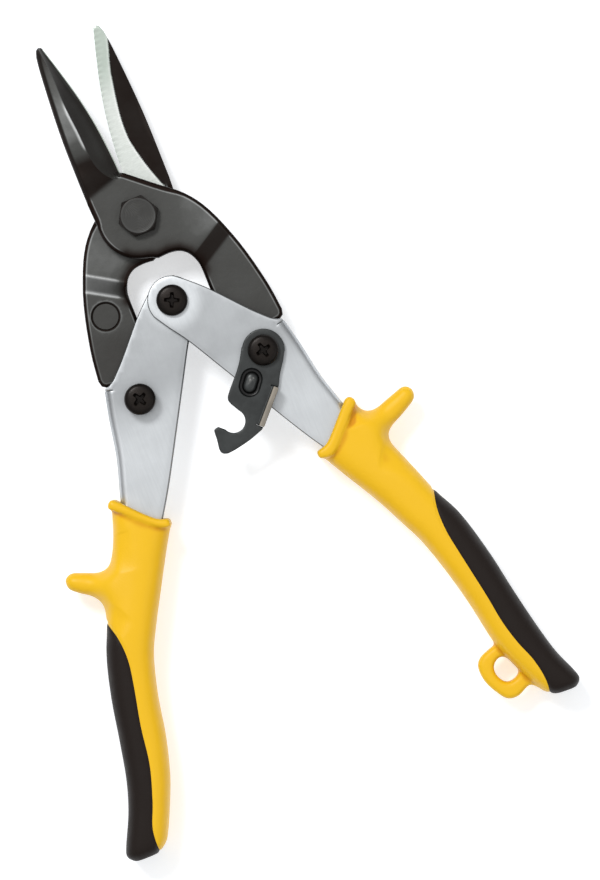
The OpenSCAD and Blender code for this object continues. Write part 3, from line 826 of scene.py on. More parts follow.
LATCH_EYE = 6.4
LATCH_RIGHT = [(25.4, -54), (24, -56.4), (21.9, -59.4), (20.2, -62.6)]
LATCH_BOTTOM = [(10.7, -73), (6, -74.6), (0.8, -75.7)]
LATCH_NOSE = [
    (-1.4, -75.9), (-2.9, -75.3), (-3.4, -73.8), (-3, -71), (-2.8, -68.2), (-2.2, -67.6), (-1.2, -67.4)
]
NOTCH = (3.7, -67.5)
NOTCH_RADIUS = 3.5
LATCH_LEFT = [(4.9, -62.6), (4.5, -61), (5.5, -59.1), (10, -54.1), (12.2, -51.1), (14, -48)]
TAB_START = np.array([20.2, -62.6])
TAB_END = np.array([10.7, -73])
TAB_TOP = 12.85
TAB_BEND = 1.3
STOP_LOW = (12.0, -59.6)
STOP_HIGH = (13.4, -57.8)
# Lines to crease along, round the pressed stop
STOP_RINGS = (3.35, 3.1, 2.9, 2.7, 2.3, 2.1, 1.9, 1.6, 1.2, 0.6)
# The tab's bend starts below the plate's edge, between two relief cuts
BEND_START = -0.5 - TAB_BEND
RELIEF_LOW = BEND_START - 0.4
RELIEF_WIDTH = 0.8


def latch():
    """The hooked plate with its pressed stop, a pill in a ring-shaped recess, and its thumb tab."""
    length = np.linalg.norm(TAB_END - TAB_START)
    along = (TAB_END - TAB_START) / length
    out = np.array([-along[1], along[0]])

    def at(u, v):
        return TAB_START + along * u + out * v

    side, far = RELIEF_WIDTH, length - RELIEF_WIDTH
    fold = with_rim_steps([at(side, BEND_START), at(far, BEND_START)], SHEET_ROUND)
    relief = [at(side - 0.06, 0), at(side - 0.06, RELIEF_LOW), at(side, RELIEF_LOW)]
    far_relief = [at(far, RELIEF_LOW), at(far + 0.06, RELIEF_LOW), at(far + 0.06, 0)]
    outline = [
        *arc(ARM_PIVOT, LATCH_EYE, 150, -24, 36), *spline(LATCH_RIGHT), *relief, *fold, *far_relief,
        *spline(LATCH_BOTTOM), *spline(LATCH_NOSE, 3), *arc(NOTCH, NOTCH_RADIUS, 204, 400, 24),
        *spline(LATCH_LEFT)
    ]
    low = LATCH_LOW + SHEET / 2
    rows = [
        (TAB_BEND * math.sin(a), low + TAB_BEND * (1 - math.cos(a)), -math.sin(a), math.cos(a))
        for a in BEND_TURNS
    ]
    heights = [*np.linspace(low + TAB_BEND, TAB_TOP - SHEET_ROUND, 5)[1:]]
    heights += [TAB_TOP - SHEET_ROUND * share for share in (*ROUND_STEPS[2::-1], 0)]
    rows += [(TAB_BEND, height, -1, 0) for height in heights]
    stop_lines = [(stadium(STOP_LOW, STOP_HIGH, r), True) for r in STOP_RINGS]
    bore = ring(ARM_PIVOT, BARREL + CLEARANCE, 40)
    corners, normals, faces = folded(outline, [bore], fold, rows, low, None, 0.7, stop_lines)
    solid, faces, gap = sheet_solid(corners, normals, faces)
    plan = corners[:, :2]
    from_stop = distance_to(plan, [STOP_LOW, STOP_HIGH], False)
    heat = smooth(1 - (BEND_START - (plan - TAB_START) @ out) / 4)
    heat *= smooth(((plan - TAB_START) @ along) / 1.5)
    recess = smooth((3.3 - from_stop) / 0.5) * smooth((from_stop - 1.7) / 0.6)
    solid[:len(plan), 2] += 0.5 * smooth((2.1 - from_stop) / 1.3) - recess
    wear = np.exp(-gap / 0.3) * 0.45
    tab_top = smooth((corners[:, 2] - TAB_TOP + 0.9 * SHEET_ROUND) / 0.1)
    up_pill = (plan - STOP_LOW) @ (np.array(STOP_HIGH) - STOP_LOW) / 5.2
    # A painted highlight on the pill's upper part, carried with the rubbed edges
    pill = 0.62 * smooth((1.7 - from_stop) / 1.2) * smooth(0.55 + 0.45 * up_pill)
    return solid, faces, {
        "wear": np.concatenate([np.maximum(wear, pill), wear]),
        "polish": np.tile(tab_top, 2),
        "heat": np.tile(heat, 2),
        "shade": top_only(smooth((3.25 - from_stop) / 0.4) * smooth((from_stop - 1.5) / 0.4)),
    }


# ---- Spring ----


def wire(path, sides=12):
    """A round wire along a path, closed at both ends."""
    path = np.array(path)
    along = np.gradient(path, axis=0)
    along /= lengths(along)[:, None]
    side = np.cross(np.array([0, 0, 1.0]), along)
    side /= lengths(side)[:, None]
    up = np.cross(along, side)
    radii = WIRE_RADIUS * np.array([WIRE_END, *[1] * (len(path) - 2), WIRE_END])
    turns = [2 * math.pi * k / sides for k in range(sides)]
    corners = [
        path[i] + r * (math.cos(a) * side[i] + math.sin(a) * up[i])
        for i, r in enumerate(radii) for a in turns
    ]
    return np.array(corners), tube_faces(len(path), sides)


COIL_RADIUS = 4.3
COIL_TURNS = 3.5
COIL_STEPS = 98
# Steps of the coil that belong to the left leg: 36 degrees or a little more
LEG_WRAP = 3
WIRE_RADIUS = 0.65
# The wire's radius at its cut ends, as a share
WIRE_END = 0.75
LEG_STEPS = 6
LEG_ROUTE = [
    (-4.2, -29.5), (-2.6, -34), (1.8, -41), (7.4, -49.8), (12.6, -58), (18, -64.5), (25, -69.6), (32.4, -73)
]
CLIMB = TAIL_HALF - WIRE_RADIUS - 0.1


def coil_point(share):
    """A point of the coil, from 0 at the right leg to 1 at the left one."""
    a = math.pi * (1 - 2 * COIL_TURNS * share)
    return np.array([
        COIL_RADIUS * math.cos(a), HANDLE_PIVOT[1] + COIL_RADIUS * math.sin(a), CLIMB * (1 - 2 * share)
    ])


def coil_path():
    """The leg in the right arm, then the coil round the handle pivot's barrel."""
    leg = [np.array([*p, CLIMB]) for p in spline(LEG_ROUTE, LEG_STEPS)[::-1]]
    return leg + [coil_point(i / COIL_STEPS) for i in range(COIL_STEPS - LEG_WRAP + 1)]


def left_leg_path():
    """The coil's last stretch, which slides along the coil as the handles shut, then the left leg."""
    leg = [np.array([-p[0], p[1], -CLIMB]) for p in spline(LEG_ROUTE, LEG_STEPS)]
    return [coil_point(i / COIL_STEPS) for i in range(COIL_STEPS - LEG_WRAP - 1, COIL_STEPS + 1)] + leg


# ---- Moulded grips, drawn as right-hand ones ----

# Stations: outer edge, inner edge and half thickness as a share of the rest height
LEFT_STATIONS = [
    (39.8, -77.6, 25.2, -89, 0.89), (43.6, -88, 29.6, -96.2, 0.91), (49.4, -100, 36, -107.4, 0.96),
    (54.4, -110.2, 41, -116.3, 1), (58.3, -119.8, 44.7, -123.9, 1), (61.4, -131.5, 47.9, -135.2, 1),
    (63.7, -143.6, 50.2, -147.3, 1), (66.2, -155.5, 53.4, -158.8, 1), (69.4, -165, 57.2, -168, 0.97),
    (74, -174.6, 60.8, -175.4, 0.93), (74.4, -177.2, 62.6, -177.6, 0.85), (72.5, -179.2, 65, -179.2, 0.6)
]
RIGHT_STATIONS = [
    (38.8, -76, 24.6, -87.6, 0.89), (43.4, -87, 28.6, -94.8, 0.91), (48, -98.4, 34.8, -105.6, 0.96),
    (52, -109, 39.2, -114.6, 1), (56.5, -118.4, 42.8, -122.4, 1), (60.3, -132.7, 46.2, -133.4, 1),
    (62.5, -144.5, 49, -145, 1), (65, -156.5, 51.6, -158.6, 1), (67.6, -166.8, 55.6, -169, 0.97),
    (70.6, -174.2, 59, -175.6, 0.93), (71.4, -177.4, 60.8, -177.8, 0.85), (69.6, -179.4, 63, -179.2, 0.6)
]
LEFT_COLLAR = [
    *spline([(40.6, -76.9), (39, -75.8), (36.9, -77.6), (32.6, -82.3), (28.4, -86.2), (25.2, -87.3)], 3),
    *spline([(25.2, -89.6), (28.1, -89), (33.5, -84.5), (37, -81.2), (40.8, -78)], 3)
]
RIGHT_COLLAR = [
    *spline([(39.6, -74.8), (38.6, -73.7), (36.9, -74), (31.4, -79.8), (28.5, -82.8), (26.3, -84.5),
             (23.3, -85.2)], 3),
    *spline([(23.3, -87.2), (25.9, -88), (28.4, -87.2), (31.8, -83.8), (37.8, -77.5), (39.6, -76.2)], 3)
]
LEFT_LUG = [
    *spline([(43.5, -88.5), (46.6, -93.8), (49.2, -95.1), (52, -94.5), (56.2, -92.9), (58.6, -92.1),
             (60.5, -92.9), (60.9, -94.4), (60.5, -96), (58.2, -98), (55.6, -99.9), (53.4, -102.4),
             (52.7, -105), (54, -109)], 3),
    (46, -107), (40, -92)
]
RIGHT_LUG = [
    *spline([(39.4, -76.9), (40.6, -79), (42.4, -80.1), (45.3, -79.8), (52.4, -77.5), (54.6, -76.9),
             (56.4, -78.1), (56.6, -80), (55.3, -81.7), (49, -85.2), (46, -86.9), (44.6, -88.9),
             (44.8, -91.6), (46.6, -95.4)], 3),
    (41, -95), (34, -80)
]
# Beside its lug a body falls away from two creases: each line, the corners that close its side, and the drop
LEFT_FALLS = [
    ([(37, -98.5), (43.5, -97.2), (51, -93)], [(50, -86), (36, -86)], 0.5),
    ([(45.5, -113), (48.5, -107), (52.2, -102.3), (56, -98)], [(64, -104), (60, -120)], 0.9)
]
RIGHT_FALLS = [
    ([(31.2, -82.4), (37, -82.8), (41.1, -82.5), (44, -80.3), (47, -79)], [(48, -72), (31, -72)], 1.1),
    ([(38, -98.5), (39.4, -94.8), (41.6, -91.2), (45.1, -87.6), (49, -84.6)], [(58, -90), (54, -106)], 1.25)
]
LEFT_SPLIT = spline([
    (54.3, -108.8), (52.4, -115), (52, -122), (53.3, -130), (55.8, -141.8), (57.6, -153.4),
    (60.9, -164), (64, -172), (64.6, -181)
], 6)
RIGHT_SPLIT = spline([
    (51.9, -107.6), (50.4, -114), (50.4, -121), (51.6, -128.5), (54.4, -143.6), (55.8, -152.5),
    (57.8, -160), (60.4, -167), (61.6, -174), (61, -181)
], 6)
SPLIT_FAR_SIDE = [(90, -181), (90, -100), (56, -100)]
LOOP_OUTSIDE = [
    *spline([(53, -158.6), (49, -159.7), (46, -161), (44.4, -163.4), (44.8, -168), (47, -172.4),
             (49.2, -175.1), (52.6, -175.4), (57, -173.6), (60.4, -177.4)], 3),
    (63, -170), (58, -158)
]
LOOP_HOLE = spline([
    (52.2, -162.8), (49.8, -163.4), (48.4, -165.4), (48.7, -168), (50.4, -170.4), (53.2, -170.4),
    (55.4, -168.6), (54.8, -165.6)
], 4, True)
LUG_HALF = 4.2
CREST_HALF = 8.5
LOOP_HALF = 3.0
# The power of the grips' rounded-rectangle rings
GRIP_WRAP = 2.9
SOCKET_START = -68
VOXEL = 0.42
# Least half thickness of a slab at its outline, so that smoothing doesn't wear it away
WALL_HALF = 1.0
# Rounds of smoothing for the whole skin and for the fillet beside the lug
SKIN_ROUNDS = 9
FILLET_ROUNDS = 90
PILLOW_RINGS = [0.02, 0.08, 0.18, 0.32, 0.5, 0.74, 1.0]
GROOVE_DEPTH = 0.32
GROOVE_WIDTH = 0.42


def grown(outline, by):
    """The outline, moved outward all round."""
    outline = np.array(refined(outline, 1.5))
    return outline + line_normals(outline) * by * np.sign(area_of(outline))


def loft(stations, sides=56):
    """A body through the stations, each ring a rounded rectangle."""
    corners = []
    rows = spline(stations, 6)
    for row in rows:
        middle, half = (row[:2] + row[2:4]) / 2, (row[:2] - row[2:4]) / 2
        for k in range(sides):
            a = 2 * math.pi * k / sides
            across, up = (
                math.copysign(abs(value) ** (2 / GRIP_WRAP), value) for value in (math.cos(a), math.sin(a))
            )
            corners.append((*(middle + half * across), up * min(row[4], 1) * REST))
    return np.array(corners), [f[::-1] for f in tube_faces(len(rows), sides)]


def pillow(outline, half, edge_round, holes=(), crest=None):
    """A slab with rounded edges, alike above and below, that thickens towards a crest line."""
    plan = Plan(outline, holes, edge_round, (), 1.0, PILLOW_RINGS)
    level = half - fall(plan.edge_gap, edge_round) * min(1, (half - WALL_HALF) / edge_round)
    if crest is not None:
        rise = smooth((15 - distance_to(plan.points, crest, False)) / 9) * smooth(plan.edge_gap / 3.2)
        level += (CREST_HALF - half) * rise
    return height_solid(plan, level, -level)


def joined(parts):
    """Several closed solids as one list of corners and faces."""
    corners, faces, first = [], [], 0
    for points, made in parts:
        corners.append(points)
        faces += [tuple(first + i for i in f) for f in made]
        first += len(points)
    return np.concatenate(corners), faces


def plain(name, corners, faces):
    """An object in the scene, with no looks."""
    mesh = bpy.data.meshes.new(name)
    mesh.from_pydata(np.asarray(corners).tolist(), [], faces)
    return added(name, mesh)


def evaluated(made):
    """The object's corners and faces with its modifiers applied."""
    bpy.context.view_layer.update()
    found = made.evaluated_get(bpy.context.evaluated_depsgraph_get())
    mesh = found.to_mesh()
    corners = np.zeros(len(mesh.vertices) * 3, np.float32)
    mesh.vertices.foreach_get("co", corners)
    faces = [tuple(p.vertices) for p in mesh.polygons]
    found.to_mesh_clear()
    return corners.reshape(-1, 3).astype(float), faces


def fused(parts, voxel):
    """One skin round several overlapping solids."""
    made = plain("fusing", *joined(parts))
    remesh = made.modifiers.new("skin", "REMESH")
    remesh.mode = "VOXEL"
    remesh.voxel_size = voxel
    corners, faces = evaluated(made)
    bpy.data.objects.remove(made)
    return corners, faces


def cut(corners, faces, cutters):
    """A solid with cutters taken away or kept: [(operation, corners, faces)]."""
    made = plain("cutting", corners, faces)
    tools = []
    for operation, tool_corners, tool_faces in cutters:
        tools.append(plain("cutter", tool_corners, tool_faces))
        step = made.modifiers.new("cut", "BOOLEAN")
        step.operation = operation
        step.solver = "MANIFOLD"
        step.object = tools[-1]
    found = evaluated(made)
    for o in (made, *tools):
        bpy.data.objects.remove(o)
    return found


def edges_of(faces):
    """Each edge once, as its two points' numbers."""
    return np.array(sorted({tuple(sorted((f[k - 1], f[k]))) for f in faces for k in range(len(f))}))


def spread(values, edges, rounds, strength=0.5):
    """Values at points, evened out along the edges."""
    shape = np.shape(values)
    values = np.array(values, float).reshape(len(values), -1)
    count = np.bincount(edges.ravel(), minlength=len(values))[:, None]
    a, b = edges.T
    for _ in range(rounds):
        total = np.column_stack([
            np.bincount(a, column[b], len(values)) + np.bincount(b, column[a], len(values))
            for column in values.T
        ])
        values += (total / np.maximum(count, 1) - values) * strength
    return values.reshape(shape)


def point_normals(corners, faces):
    """Unit normals at the points of triangles and quads."""
    made = np.zeros_like(corners)
    for size in {len(f) for f in faces}:
        group = np.array([f for f in faces if len(f) == size])
        a, b, c, d = (corners[group[:, k]] for k in (0, 1, 2, size - 1))
        face_normal = np.cross(c - a, d - b) if size == 4 else np.cross(b - a, c - a)
        for k in range(size):
            np.add.at(made, group[:, k], face_normal)
    return made / np.maximum(lengths(made), 1e-9)[:, None]


def prism(outline, low, high):
    """An upright solid over an outline."""
    outline = np.array(outline)
    if area_of(outline) < 0:
        outline = outline[::-1]
    n = len(outline)
    corners = [(*p, high) for p in outline] + [(*p, low) for p in outline]
    faces = [tuple(range(n)), tuple(range(2 * n - 1, n - 1, -1))]
    faces += [((k + 1) % n, k, n + k, n + (k + 1) % n) for k in range(n)]
    return corners, faces


def grip(stations, collar, lug, falls, split, face, extra=()):
    """The yellow moulding and the dark insert: each with corners, faces and how hollow each point lies."""
    middle = [((a + c) / 2, (b + d) / 2) for a, b, c, d, _ in stations[:5]]
    parts = [
        loft(stations), pillow(grown(collar, 0.08), REST - 0.02, 0.95),
        pillow(grown(lug, 0.3), LUG_HALF, 3.0, (), middle), *extra
    ]
    corners, faces = fused(parts, VOXEL)
    edges = edges_of(faces)
    corners = spread(corners, edges, SKIN_ROUNDS)
    # The lug flows into the body with a wide fillet
    plan = corners[:, :2]
    to_collar = np.where(inside(plan, collar), 0, distance_to(plan, collar))
    filleted = smooth((8 - distance_to(plan, [lug[0], lug[-3]], False)) / 4) * smooth((to_collar - 0.6) / 1.5)
    corners += (spread(corners, edges, FILLET_ROUNDS) - corners) * filleted[:, None]
    upright = point_normals(corners, faces)[:, 2] * smooth((to_collar - 0.4) / 0.8)
    for line, beyond, drop in falls:
        fallen = drop * (1 - np.exp(-distance_to(plan, line, False) / 1.6)) * inside(plan, [*line, *beyond])
        fading = smooth(distance_to(plan, [beyond[-1], line[0]], False) / 6)
        corners[:, 2] -= fallen * fading * upright * np.abs(upright)
    normals = point_normals(corners, faces)
    bent = ((spread(corners, edges, 3) - corners) * normals).sum(1)
    hollow = np.clip(spread(bent, edges, 14) * 14, -1, 1)
    gap = distance_to(corners[:, :2], split, False)
    corners = corners - normals * (GROOVE_DEPTH * np.exp(-(gap / GROOVE_WIDTH) ** 2))[:, None]
    region = prism([*split, *SPLIT_FAR_SIDE], -30, 30)
    web = [p for p in spline(WEB_OUTSIDE) if p[1] < SOCKET_START]
    inner = [p for p in spline(ARM_INSIDE) if p[1] < SOCKET_START]
    socket = prism([*web, *inner], -face, face)
    made = []
    for operation in ("DIFFERENCE", "INTERSECT"):
        found, found_faces = cut(corners, faces, [(operation, *region), ("DIFFERENCE", *socket)])
        made.append((found, found_faces, nearest_values(corners, hollow, found)))
    return made


def nearest_values(points, values, wanted):
    """Each wanted point's value, from the nearest of the points."""
    tree = kdtree.KDTree(len(points))
    for k, p in enumerate(points):
        tree.insert(p, k)
    tree.balance()
    return np.array([values[tree.find(p)[1]] for p in wanted])


# ---- Materials ----


class Paint:
    """A node material, built up from small steps. Lengths in it are in millimetres."""

    def __init__(self, name):
        self.material = bpy.data.materials.new(name)
        self.material.use_nodes = True
        self.tree = self.material.node_tree
        self.tree.nodes.clear()
        output = self.tree.nodes.new("ShaderNodeOutputMaterial")
        self.shader = self.tree.nodes.new("ShaderNodeBsdfPrincipled")
        self.tree.links.new(self.shader.outputs["BSDF"], output.inputs["Surface"])
        place = self.node("TexCoord", {}, "Object")
        self.place = self.node("VectorMath", {"Vector": place, "Scale": 1 / MM}, operation="SCALE")

    def node(self, kind, inputs, output=0, **settings):
        """Adds a node, fills its inputs by name or number, and gives one of its outputs."""
        made = self.tree.nodes.new("ShaderNode" + kind)
        for key, value in settings.items():
            setattr(made, key, value)
        for key, value in inputs.items():
            self.fill(made.inputs[key], value)
        return made.outputs[output]

    def fill(self, socket, value):
        if isinstance(value, bpy.types.NodeSocket):
            self.tree.links.new(value, socket)
        elif socket.type == "RGBA":
            socket.default_value = (*value, 1)
        else:
            socket.default_value = value

    def math(self, operation, first, second=0.0):
        return self.node("Math", {0: first, 1: second}, operation=operation)

    def times(self, first, second):
        return self.math("MULTIPLY", first, second)

    def stretched(self, x, y, z, turn=0.0):
        """Places scaled unevenly, after a turn about Z in degrees."""
        inputs = {"Vector": self.place, "Rotation": (0, 0, math.radians(turn)), "Scale": (x, y, z)}
        return self.node("Mapping", inputs)

    def noise(self, size, detail=3.0, roughness=0.5, place=None):
        """Noise whose features are about so many millimetres wide."""
        inputs = {"Vector": place or self.place, "Scale": 1 / size, "Detail": detail, "Roughness": roughness}
        return self.node("TexNoise", inputs)

    def band(self, value, low, high, start=0.0, end=1.0):
        """The value's range from low to high, mapped to start to end."""
        inputs = {"Value": value, "From Min": low, "From Max": high, "To Min": start, "To Max": end}
        return self.node("MapRange", inputs, interpolation_type="SMOOTHSTEP")

    def value(self, name):
        """A value stored on the mesh."""
        return self.node("Attribute", {}, "Fac", attribute_name=name)

    def mix(self, share, first, second):
        """Two colours mixed."""
        return self.node("Mix", {0: share, 6: first, 7: second}, 2, data_type="RGBA")

    def blend(self, share, first, second):
        """Two numbers mixed."""
        return self.node("Mix", {0: share, 2: first, 3: second}, data_type="FLOAT")

    def relief(self, *layers):
        """The normal of layers of relief, each a height from 0 to 1 and its depth in millimetres."""
        below = {}
        for height, depth in layers:
            inputs = {"Strength": 1, "Distance": depth * MM, "Height": height, **below}
            below = {"Normal": self.node("Bump", inputs, "Normal")}
        return below["Normal"]

    def finish(self, **inputs):
        for key, value in inputs.items():
            self.fill(self.shader.inputs[key.replace("_", " ")], value)
        return self.material


def tinted(tone, factor):
    """The tone, darker or brighter."""
    return [c * factor for c in tone]


def worn(paint, dark, bare, size):
    """The colour and the share of bare metal where edges have rubbed, and of painted highlights carried in the
    same value, uneven from place to place.
    """
    rubbed = paint.times(paint.value("wear"), paint.noise(size, 4, 0.6))
    share = paint.band(rubbed, 0.22, 0.6)
    return paint.mix(share, dark, bare), share


def skinned(paint, tone, grain, cloud):
    """The colour of a black skin, by how far it has been rubbed towards bare metal and by its painted
    highlights and shade.
    """
    uneven = paint.times(paint.math("SUBTRACT", cloud, 0.5), 0.12)
    level = paint.times(paint.math("ADD", paint.value("polish"), uneven), 2)
    face = paint.mix(paint.band(grain, 0.55, 0.75, 0, 0.3), tone, tinted(tone, 1.5))
    dark = paint.mix(level, (0.011, 0.0062, 0.0046), face)
    bare = paint.math("SUBTRACT", level, 1)
    return paint.mix(bare, dark, (0.46, 0.47, 0.47)), bare


# Millimetres between the teeth along the shearing edge
TOOTH_PITCH = 0.85
BLACK_SHEEN = {"Metallic": 0.65, "Specular_IOR_Level": 0.1}


def forged_black(name, tone):
    """Blackened forging: a fine scale-like grain, rubbed edges, painted highlights and shade, and ground
    cutting faces with a painted reflection.
    """
    paint = Paint(name)
    grain = paint.noise(0.35, 4, 0.6)
    cloud = paint.noise(7, 3, 0.5)
    colour, bare = skinned(paint, tone, grain, cloud)
    rough = paint.blend(bare, paint.band(cloud, 0.3, 0.7, 0.42, 0.48), 0.34)
    ground = paint.value("ground")
    teeth = paint.value("teeth")
    lines = paint.noise(0.22, 3, 0.6, paint.stretched(0.12, 1, 1, 12))
    # The ground faces' brightness, a painted reflection, from the same value
    steel = paint.mix(paint.value("polish"), (0.36, 0.42, 0.37), (0.76, 0.77, 0.755))
    steel = paint.mix(paint.band(lines, 0.3, 0.7, 0, 0.3), steel, (0.36, 0.39, 0.35))
    steel = paint.mix(paint.times(teeth, 0.5), steel, (0.34, 0.38, 0.35))
    colour = paint.mix(ground, colour, steel)
    rough = paint.blend(ground, rough, 0.42)
    serration = {"Vector": paint.place, "Scale": math.pi / 20 / TOOTH_PITCH, "Distortion": 0}
    wave = paint.node("TexWave", serration, "Fac", bands_direction="Y")
    normal = paint.relief(
        (grain, 0.02), (paint.noise(1.6, 3, 0.55), 0.035), (paint.times(ground, lines), 0.012),
        (paint.times(teeth, wave), 0.03)
    )
    return paint.finish(Base_Color=colour, Roughness=rough, Normal=normal, **BLACK_SHEEN)


def turned_black(name, tone):
    """Blackened bolt and nut, with the lathe's rings on their faces, painted shade on their chamfers and a
    painted highlight ring.
    """
    paint = Paint(name)
    away = paint.node("VectorMath", {"Vector": paint.stretched(1, 1, 0)}, 1, operation="LENGTH")
    rings = paint.math("SINE", paint.times(away, 2 * math.pi / 0.45))
    grain = paint.noise(0.4, 4, 0.6)
    colour, bare = skinned(paint, tone, grain, paint.noise(3, 3, 0.5))
    rough = paint.blend(bare, 0.42, 0.34)
    normal = paint.relief((rings, 0.008), (grain, 0.012))
    return paint.finish(Base_Color=colour, Roughness=rough, Normal=normal, **BLACK_SHEEN)


def plated(name, tone):
    """Zinc-plated sheet: bright, with a faint rolled grain, soft clouds, shallow dimples, painted sheen and
    highlights, and painted shade on its bends and cut edges.
    """
    paint = Paint(name)
    rolled = paint.noise(0.5, 4, 0.65, paint.stretched(1, 0.06, 1, -24))
    cloud = paint.noise(9, 3, 0.5)
    speck = paint.noise(0.8, 5, 0.7)
    colour = paint.mix(paint.band(cloud, 0.3, 0.7), tinted(tone, 0.98), tinted(tone, 1.02))
    for share, other in (
        # Painted sheen and the eye's painted highlight
        (paint.value("polish"), tinted(tone, 1.7)),
        (paint.band(rolled, 0.35, 0.7, 0, 0.12), tinted(tone, 0.88)),
        (paint.band(speck, 0.64, 0.76, 0, 0.25), tinted(tone, 0.6)),
        # A painted highlight line just inside the rims
        (paint.band(paint.value("wear"), 0.3, 1, 0, 0.5), (0.74, 0.75, 0.77)),
        # Painted shade on the bends
        (paint.band(paint.value("bent"), 0.1, 0.9, 0, 0.5), tinted(tone, 0.75)),
        # Painted shade on the cut edges
        (paint.times(paint.value("edge"), 0.8), tinted(tone, 0.2)),
    ):
        colour = paint.mix(share, colour, other)
    rough = paint.band(cloud, 0.3, 0.7, 0.36, 0.4)
    normal = paint.relief((rolled, 0.003), (paint.noise(2.4, 2, 0.5), 0.02))
    return paint.finish(Base_Color=colour, Metallic=0.9, Roughness=rough, Normal=normal)


def black_oxide(name, tone):
    """Dark oxide screws, rubbed and with a painted highlight at the recess, and a painted sheen on the crown.
    """
    paint = Paint(name)
    grain = paint.noise(0.3, 4, 0.6)
    dark = paint.mix(paint.band(grain, 0.35, 0.7), tinted(tone, 0.75), tinted(tone, 1.4))
    dark = paint.mix(paint.value("polish"), dark, tinted(tone, 2.6))
    colour, bare = worn(paint, dark, (0.16, 0.15, 0.14), 0.6)
    rough = paint.band(grain, 0.3, 0.7, 0.28, 0.38)
    return paint.finish(
        Base_Color=colour, Metallic=paint.blend(bare, 0.5, 0.9), Roughness=rough,
        Normal=paint.relief((grain, 0.012)), Specular_IOR_Level=0.2
    )


def blued(name, tone):
    """Blued latch plate: a satin dark skin, straw-brown at the bend, bare on its rubbed edges, with a painted
    highlight on the stop's pill and painted shade in its recess.
    """
    paint = Paint(name)
    cloud = paint.noise(4, 3, 0.55)
    grain = paint.noise(0.3, 4, 0.6)
    dark = paint.mix(paint.band(cloud, 0.3, 0.7), tinted(tone, 0.85), tinted(tone, 1.2))
    dark = paint.mix(paint.band(paint.value("heat"), 0, 1, 0, 0.55), dark, (0.11, 0.085, 0.065))
    colour, bare = worn(paint, dark, (0.42, 0.42, 0.4), 1.1)
    colour = paint.mix(paint.value("shade"), colour, (0.004, 0.004, 0.004))
    tab = paint.times(paint.value("polish"), paint.band(cloud, 0.3, 0.7, 0.8, 1))
    colour = paint.mix(tab, colour, (0.27, 0.24, 0.20))
    return paint.finish(
        Base_Color=colour, Metallic=paint.blend(bare, 0.45, 0.95), Roughness=paint.blend(bare, 0.36, 0.3),
        Normal=paint.relief((grain, 0.012), (paint.noise(1.5, 2, 0.5), 0.02))
    )


def moulded(name, tone, deep, rough, pebble, gloss):
    """Moulded plastic: a fine moulding texture, faint flow clouds and painted shade, a deeper tone, in its
    hollows.
    """
    paint = Paint(name)
    cloud = paint.noise(14, 3, 0.5)
    pebbles = paint.node("TexVoronoi", {"Vector": paint.place, "Scale": 1 / pebble}, "Distance")
    # Painted shade: the deeper tone in the hollows
    colour = paint.mix(paint.band(paint.value("hollow"), 0.0, 0.3), tone, deep)
    colour = paint.mix(paint.band(cloud, 0.35, 0.7, 0, 0.25), colour, tinted(tone, 0.93))
    scuff = paint.band(paint.noise(1.1, 5, 0.7), 0.62, 0.72, 0, 0.12)
    colour = paint.mix(scuff, colour, [min(1, c * 1.15 + 0.02) for c in tone])
    roughness = paint.band(paint.noise(5, 4, 0.6), 0.3, 0.7, rough - 0.05, rough + 0.06)
    normal = paint.relief((pebbles, 0.025), (paint.noise(6, 2, 0.5), 0.05))
    return paint.finish(Base_Color=colour, Roughness=roughness, Normal=normal, Specular_IOR_Level=gloss)


def bare_steel(name, tone, rough):
    """Drawn or turned steel with fine scratches."""
    paint = Paint(name)
    lines = paint.noise(0.3, 4, 0.65, paint.stretched(1, 0.3, 1, 35))
    colour = paint.mix(paint.band(lines, 0.3, 0.7), tinted(tone, 0.8), tinted(tone, 1.12))
    return paint.finish(
        Base_Color=colour, Metallic=1.0, Roughness=paint.band(lines, 0.3, 0.7, rough - 0.06, rough + 0.08),
        Normal=paint.relief((lines, 0.01))
    )


FORGED = forged_black("forged_steel", (0.071, 0.072, 0.069))
JAW_HARDWARE = turned_black("jaw_hardware", (0.066, 0.067, 0.065))
PLATED = plated("plated_sheet", (0.375, 0.39, 0.402))
BLACK = black_oxide("black_hardware", (0.0085, 0.0065, 0.0055))
LATCH = blued("latch_steel", (0.032, 0.035, 0.035))
# The second tone of each moulding is painted shade for its hollows
YELLOW = moulded("grip_yellow", (0.84, 0.49, 0.010), (0.66, 0.28, 0.005), 0.42, 0.55, 0.25)
DARK = moulded("grip_dark", (0.0145, 0.0100, 0.0082), (0.009, 0.0065, 0.0055), 0.55, 0.4, 0.14)
SPRING = bare_steel("spring_steel", (0.36, 0.36, 0.38), 0.32)
WASHER = bare_steel("washer_steel", (0.52, 0.52, 0.54), 0.3)


# ---- The pieces ----


LEFT_PLACE = ARM_PIVOT * np.array([-1, 1])
# The left screw's head leaves room for the latch's hook below it
LEFT_SEAT = LATCH_TOP + 0.25
RIGHT_SEAT = LATCH_TOP + CLEARANCE
HANDLE_NECK = RIGHT_FACE - SHEET
THREAD = SHANK + WALL
LEFT_ARM_FIT = 0.35
JAW_WASHER_RADIUS = 8.0
TAIL_WASHER_HEIGHT = 1.7
LATCH_WASHER_RADIUS = 5.6

